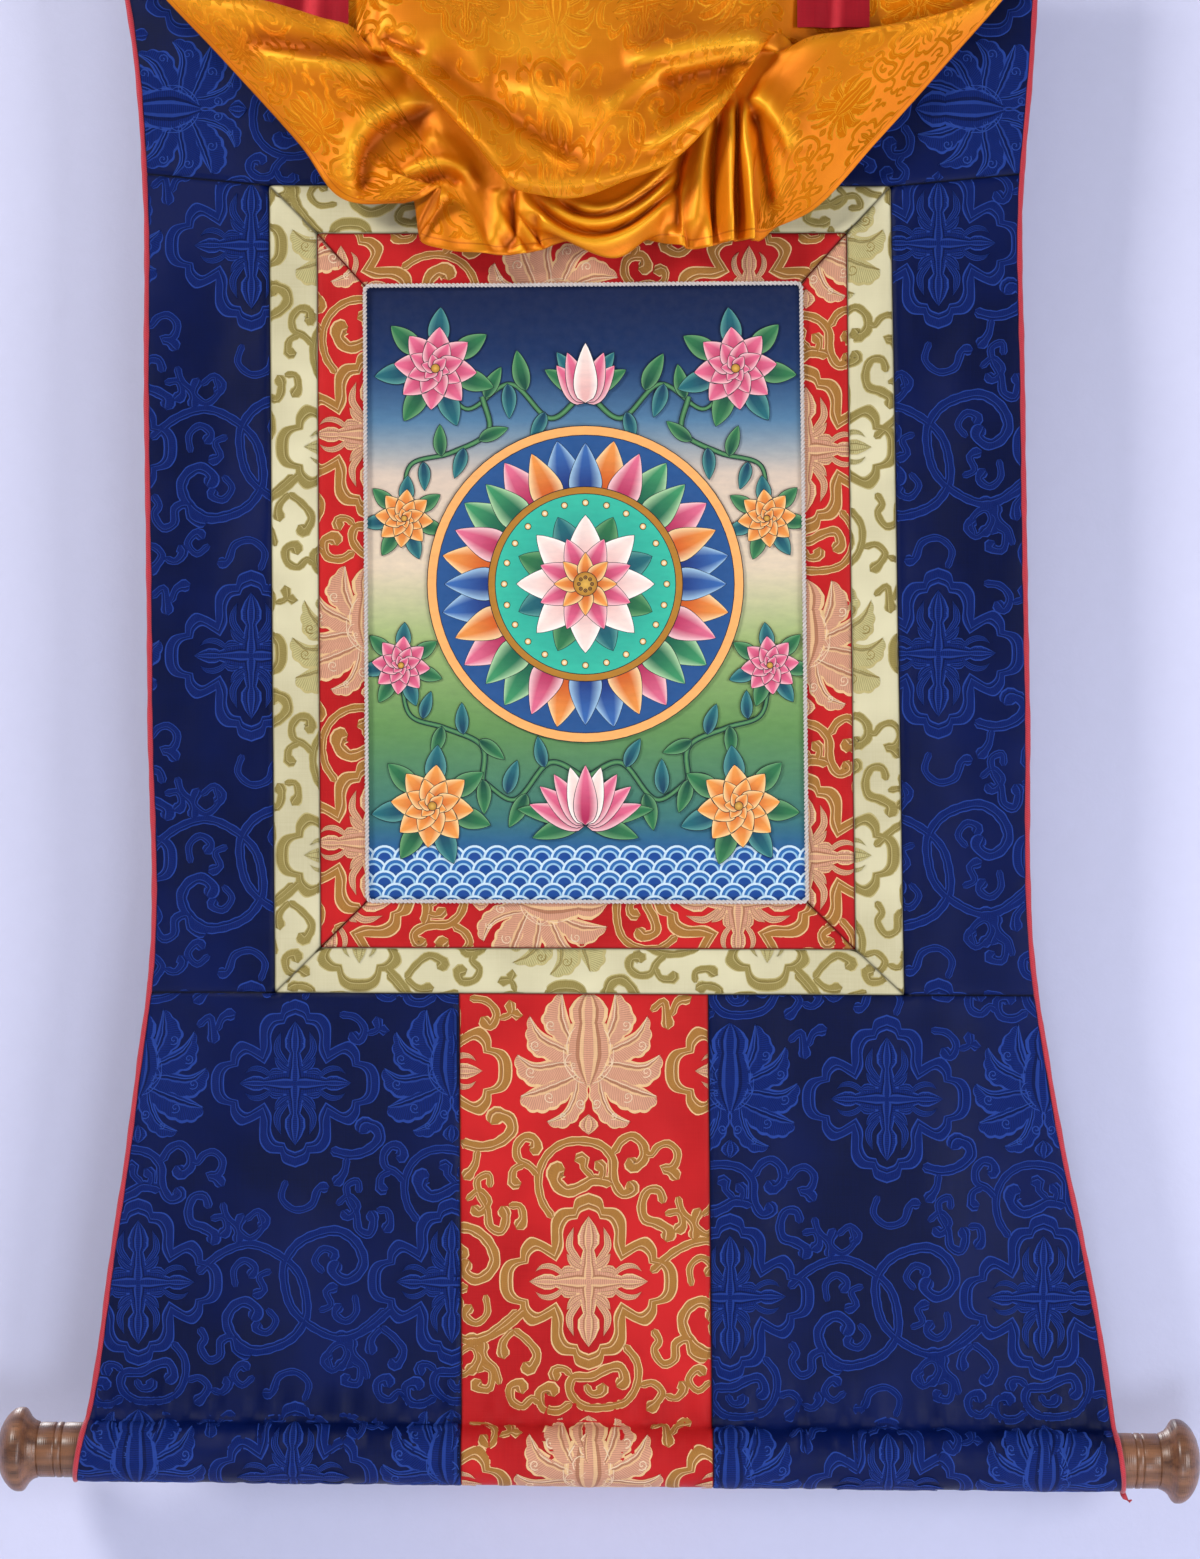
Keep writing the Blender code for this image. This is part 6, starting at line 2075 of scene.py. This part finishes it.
def paint_axis(work):
    """The bud above the medallion and the open flower below it."""
    x = PAINTING_MIDDLE[0]
    for heading, length in ((-150, 30), (-30, 30), (-125, 32), (-55, 32)):
        work.petal(x, 306, heading, length, 12, LEAF_TONES[heading % 2], LEAF_FULLNESS)
    for heading, length in ((-128, 30), (-52, 30), (-110, 34), (-70, 34), (-90, 38)):
        tones = PINK_TONES[0] if heading != -90 else PALE_TONES[0]
        work.petal(x, 312, heading, length, 15, tones, PETAL_FULLNESS)
    for heading, length in ((-172, 44), (-8, 44), (160, 36), (20, 36)):
        work.petal(x, 578, heading, length, 13, LEAF_TONES[0], LEAF_FULLNESS)
    for heading in (-160, -20, -140, -40, -122, -58, -105, -75, -90):
        tones = PALE_TONES[0] if heading % 2 else PINK_TONES[0]
        work.petal(x, 582, heading, 38, 15, tones, PETAL_FULLNESS)


def stretched(x, s, ahead):
    """Points of the painted sheet, which is stretched flat."""
    return np.stack((x, -(ahead + x * 0.0), -s), axis=-1)


def build_painting():
    """The painted sheet: an ornamental design of a rosette, flowers and waves."""
    x0, x1, s0, s1 = PAINTING.box()
    across, down = np.meshgrid(shares(x1 - x0, PAINTING_STEP), shares(s1 - s0, PAINTING_STEP))
    x, s = PAINTING.settle(across, down)
    half = PAINTING_THICK / 2
    flat = np.stack((x, s), axis=-1)
    sheet = closed_sheet("painting_sheet", stretched(x, s, half), stretched(x, s, -half), flat,
                         (PAINT_BACK, PAINT_BACK))
    dress(sheet, "painting")
    work = Paintwork()
    paint_ground(work)
    paint_waves(work)
    paint_sprays(work)
    paint_axis(work)
    paint_medallion(work)
    places = np.vstack(work.places)
    x, s = PAINTING.clip(places[:, 0], places[:, 1], PAINT_INSET)
    tones = np.hstack((np.vstack(work.tones), np.ones((work.count, 1))))
    points = stretched(x, s, np.concatenate(work.lifts))
    paint = add_mesh("painting_strokes", points, np.vstack(work.quads),
                     {"Cloth": np.stack((x, s), axis=1) * MM}, {"Paint": tones}, (PAINT,))
    dress(paint)


# ---- stage, light and camera
BACKDROP_AHEAD, BACKDROP_DROP = -62.0, 600.0
FLOOR_DROP = 1500.0
STAGE_SIZE = 8.0
SKY_COLOUR, SKY_STRENGTH = (0.86, 0.88, 1.0, 1), 0.27
LAMPS_AIM = (0, 0, -0.5)
CAMERA_PLACE = (0.0083, -2.0, -0.553)
CAMERA_SENSOR = 24.0
PHOTO_HEIGHT = 0.998
# Lamps: name, x, ahead, drop, width, power, colour.
LAMPS = (
    ("lamp_left", -1900, 1500, -900, 0.6, 51, (1.0, 0.985, 0.95)),
    ("lamp_right", 2100, 1700, 600, 1.0, 36, (0.97, 0.98, 1.0)),
    ("lamp_low", 250, 1100, 1250, 0.4, 4, (0.80, 0.88, 1.0)),
    ("lamp_behind", -1500, -3800, -1500, 1.2, 80, (1.0, 1.0, 1.0)),
)


def stage_material(name, colour):
    """A matt painted surface that can't be seen from behind and lets the light from there through."""
    material, tree, shader = new_material(name)
    place = wire(tree, "TexCoord").outputs["Object"]
    grain = noise(tree, place, 90.0, 4.0, 0.6)
    shade = blend(tree, grain, tuple(c * 0.96 for c in colour[:3]) + (1,), colour)
    finish_with(tree, shader, shade, 0.9, grain, 0.3)
    through = wire(tree, "BsdfTransparent").outputs[0]
    behind = wire(tree, "NewGeometry").outputs["Backfacing"]
    shadow = wire(tree, "LightPath").outputs["Is Shadow Ray"]
    clear = calc(tree, "MAXIMUM", behind, shadow)
    mixed = wire(tree, "MixShader", {0: clear, 1: shader.outputs[0], 2: through})
    tree.links.new(mixed.outputs[0], tree.nodes["Material Output"].inputs["Surface"])
    return material


def build_stage():
    for name, ahead, drop, turn, colour in (
        ("backdrop", BACKDROP_AHEAD, BACKDROP_DROP, math.pi / 2, tone(208, 209, 234)),
        ("floor", 0.0, FLOOR_DROP, 0.0, tone(226, 225, 228)),
    ):
        place = (0, -ahead * MM, -drop * MM)
        bpy.ops.object.select_all(action="DESELECT")
        bpy.ops.mesh.primitive_plane_add(size=STAGE_SIZE, location=place, rotation=(turn, 0, 0))
        plane = bpy.context.object
        plane.name = name
        bpy.ops.object.transform_apply(location=True, rotation=True, scale=True)
        plane.data.materials.append(stage_material(f"{name}_paint", colour))


def aim(thing, target):
    heading = [t - p for t, p in zip(target, thing.location)]
    thing.rotation_euler = Vector(heading).to_track_quat("-Z", "Y").to_euler()


def build_light_and_camera():
    scene = bpy.context.scene
    world = bpy.data.worlds.new("studio")
    world.use_nodes = True
    background = world.node_tree.nodes["Background"]
    feed(world.node_tree, background, {"Color": SKY_COLOUR, "Strength": SKY_STRENGTH})
    scene.world = world
    for name, x, ahead, drop, width, power, colour in LAMPS:
        light = bpy.data.lights.new(name, "AREA")
        light.size = width
        light.energy = power
        light.color = colour
        lamp = bpy.data.objects.new(name, light)
        lamp.location = (x * MM, -ahead * MM, -drop * MM)
        aim(lamp, LAMPS_AIM)
        scene.collection.objects.link(lamp)
    lens = bpy.data.cameras.new("photo_view")
    lens.sensor_width = CAMERA_SENSOR
    lens.lens = CAMERA_SENSOR * -CAMERA_PLACE[1] / PHOTO_HEIGHT
    camera = bpy.data.objects.new("photo_view", lens)
    camera.location = CAMERA_PLACE
    camera.rotation_euler = (math.pi / 2, 0, 0)
    scene.collection.objects.link(camera)
    scene.camera = camera
    scene.view_settings.view_transform = "Standard"


# ---- the whole
def build_body():
    for name in PANELS:
        front, back, figure = BROCADES[SLOT_OF[name]]
        build_panel(name, (front, back))
        build_figure(name, figure)


def build_rod():
    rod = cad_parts["bottom_rod"]
    rod.data.materials.clear()
    rod.data.materials.append(WOOD)
    left, right = ROD_ENDS
    build_knob("knob_left", left - GAP, -1)
    build_knob("knob_right", right + GAP, 1)


build_body()
build_binding("binding_left", left_edge, -1)
build_binding("binding_right", right_edge, 1)
build_cord()
build_rod()
build_painting()
build_cover()
build_ribbon("ribbon_left", *RIBBON_LEFT)
build_ribbon("ribbon_right", *RIBBON_RIGHT)
build_stage()
build_light_and_camera()
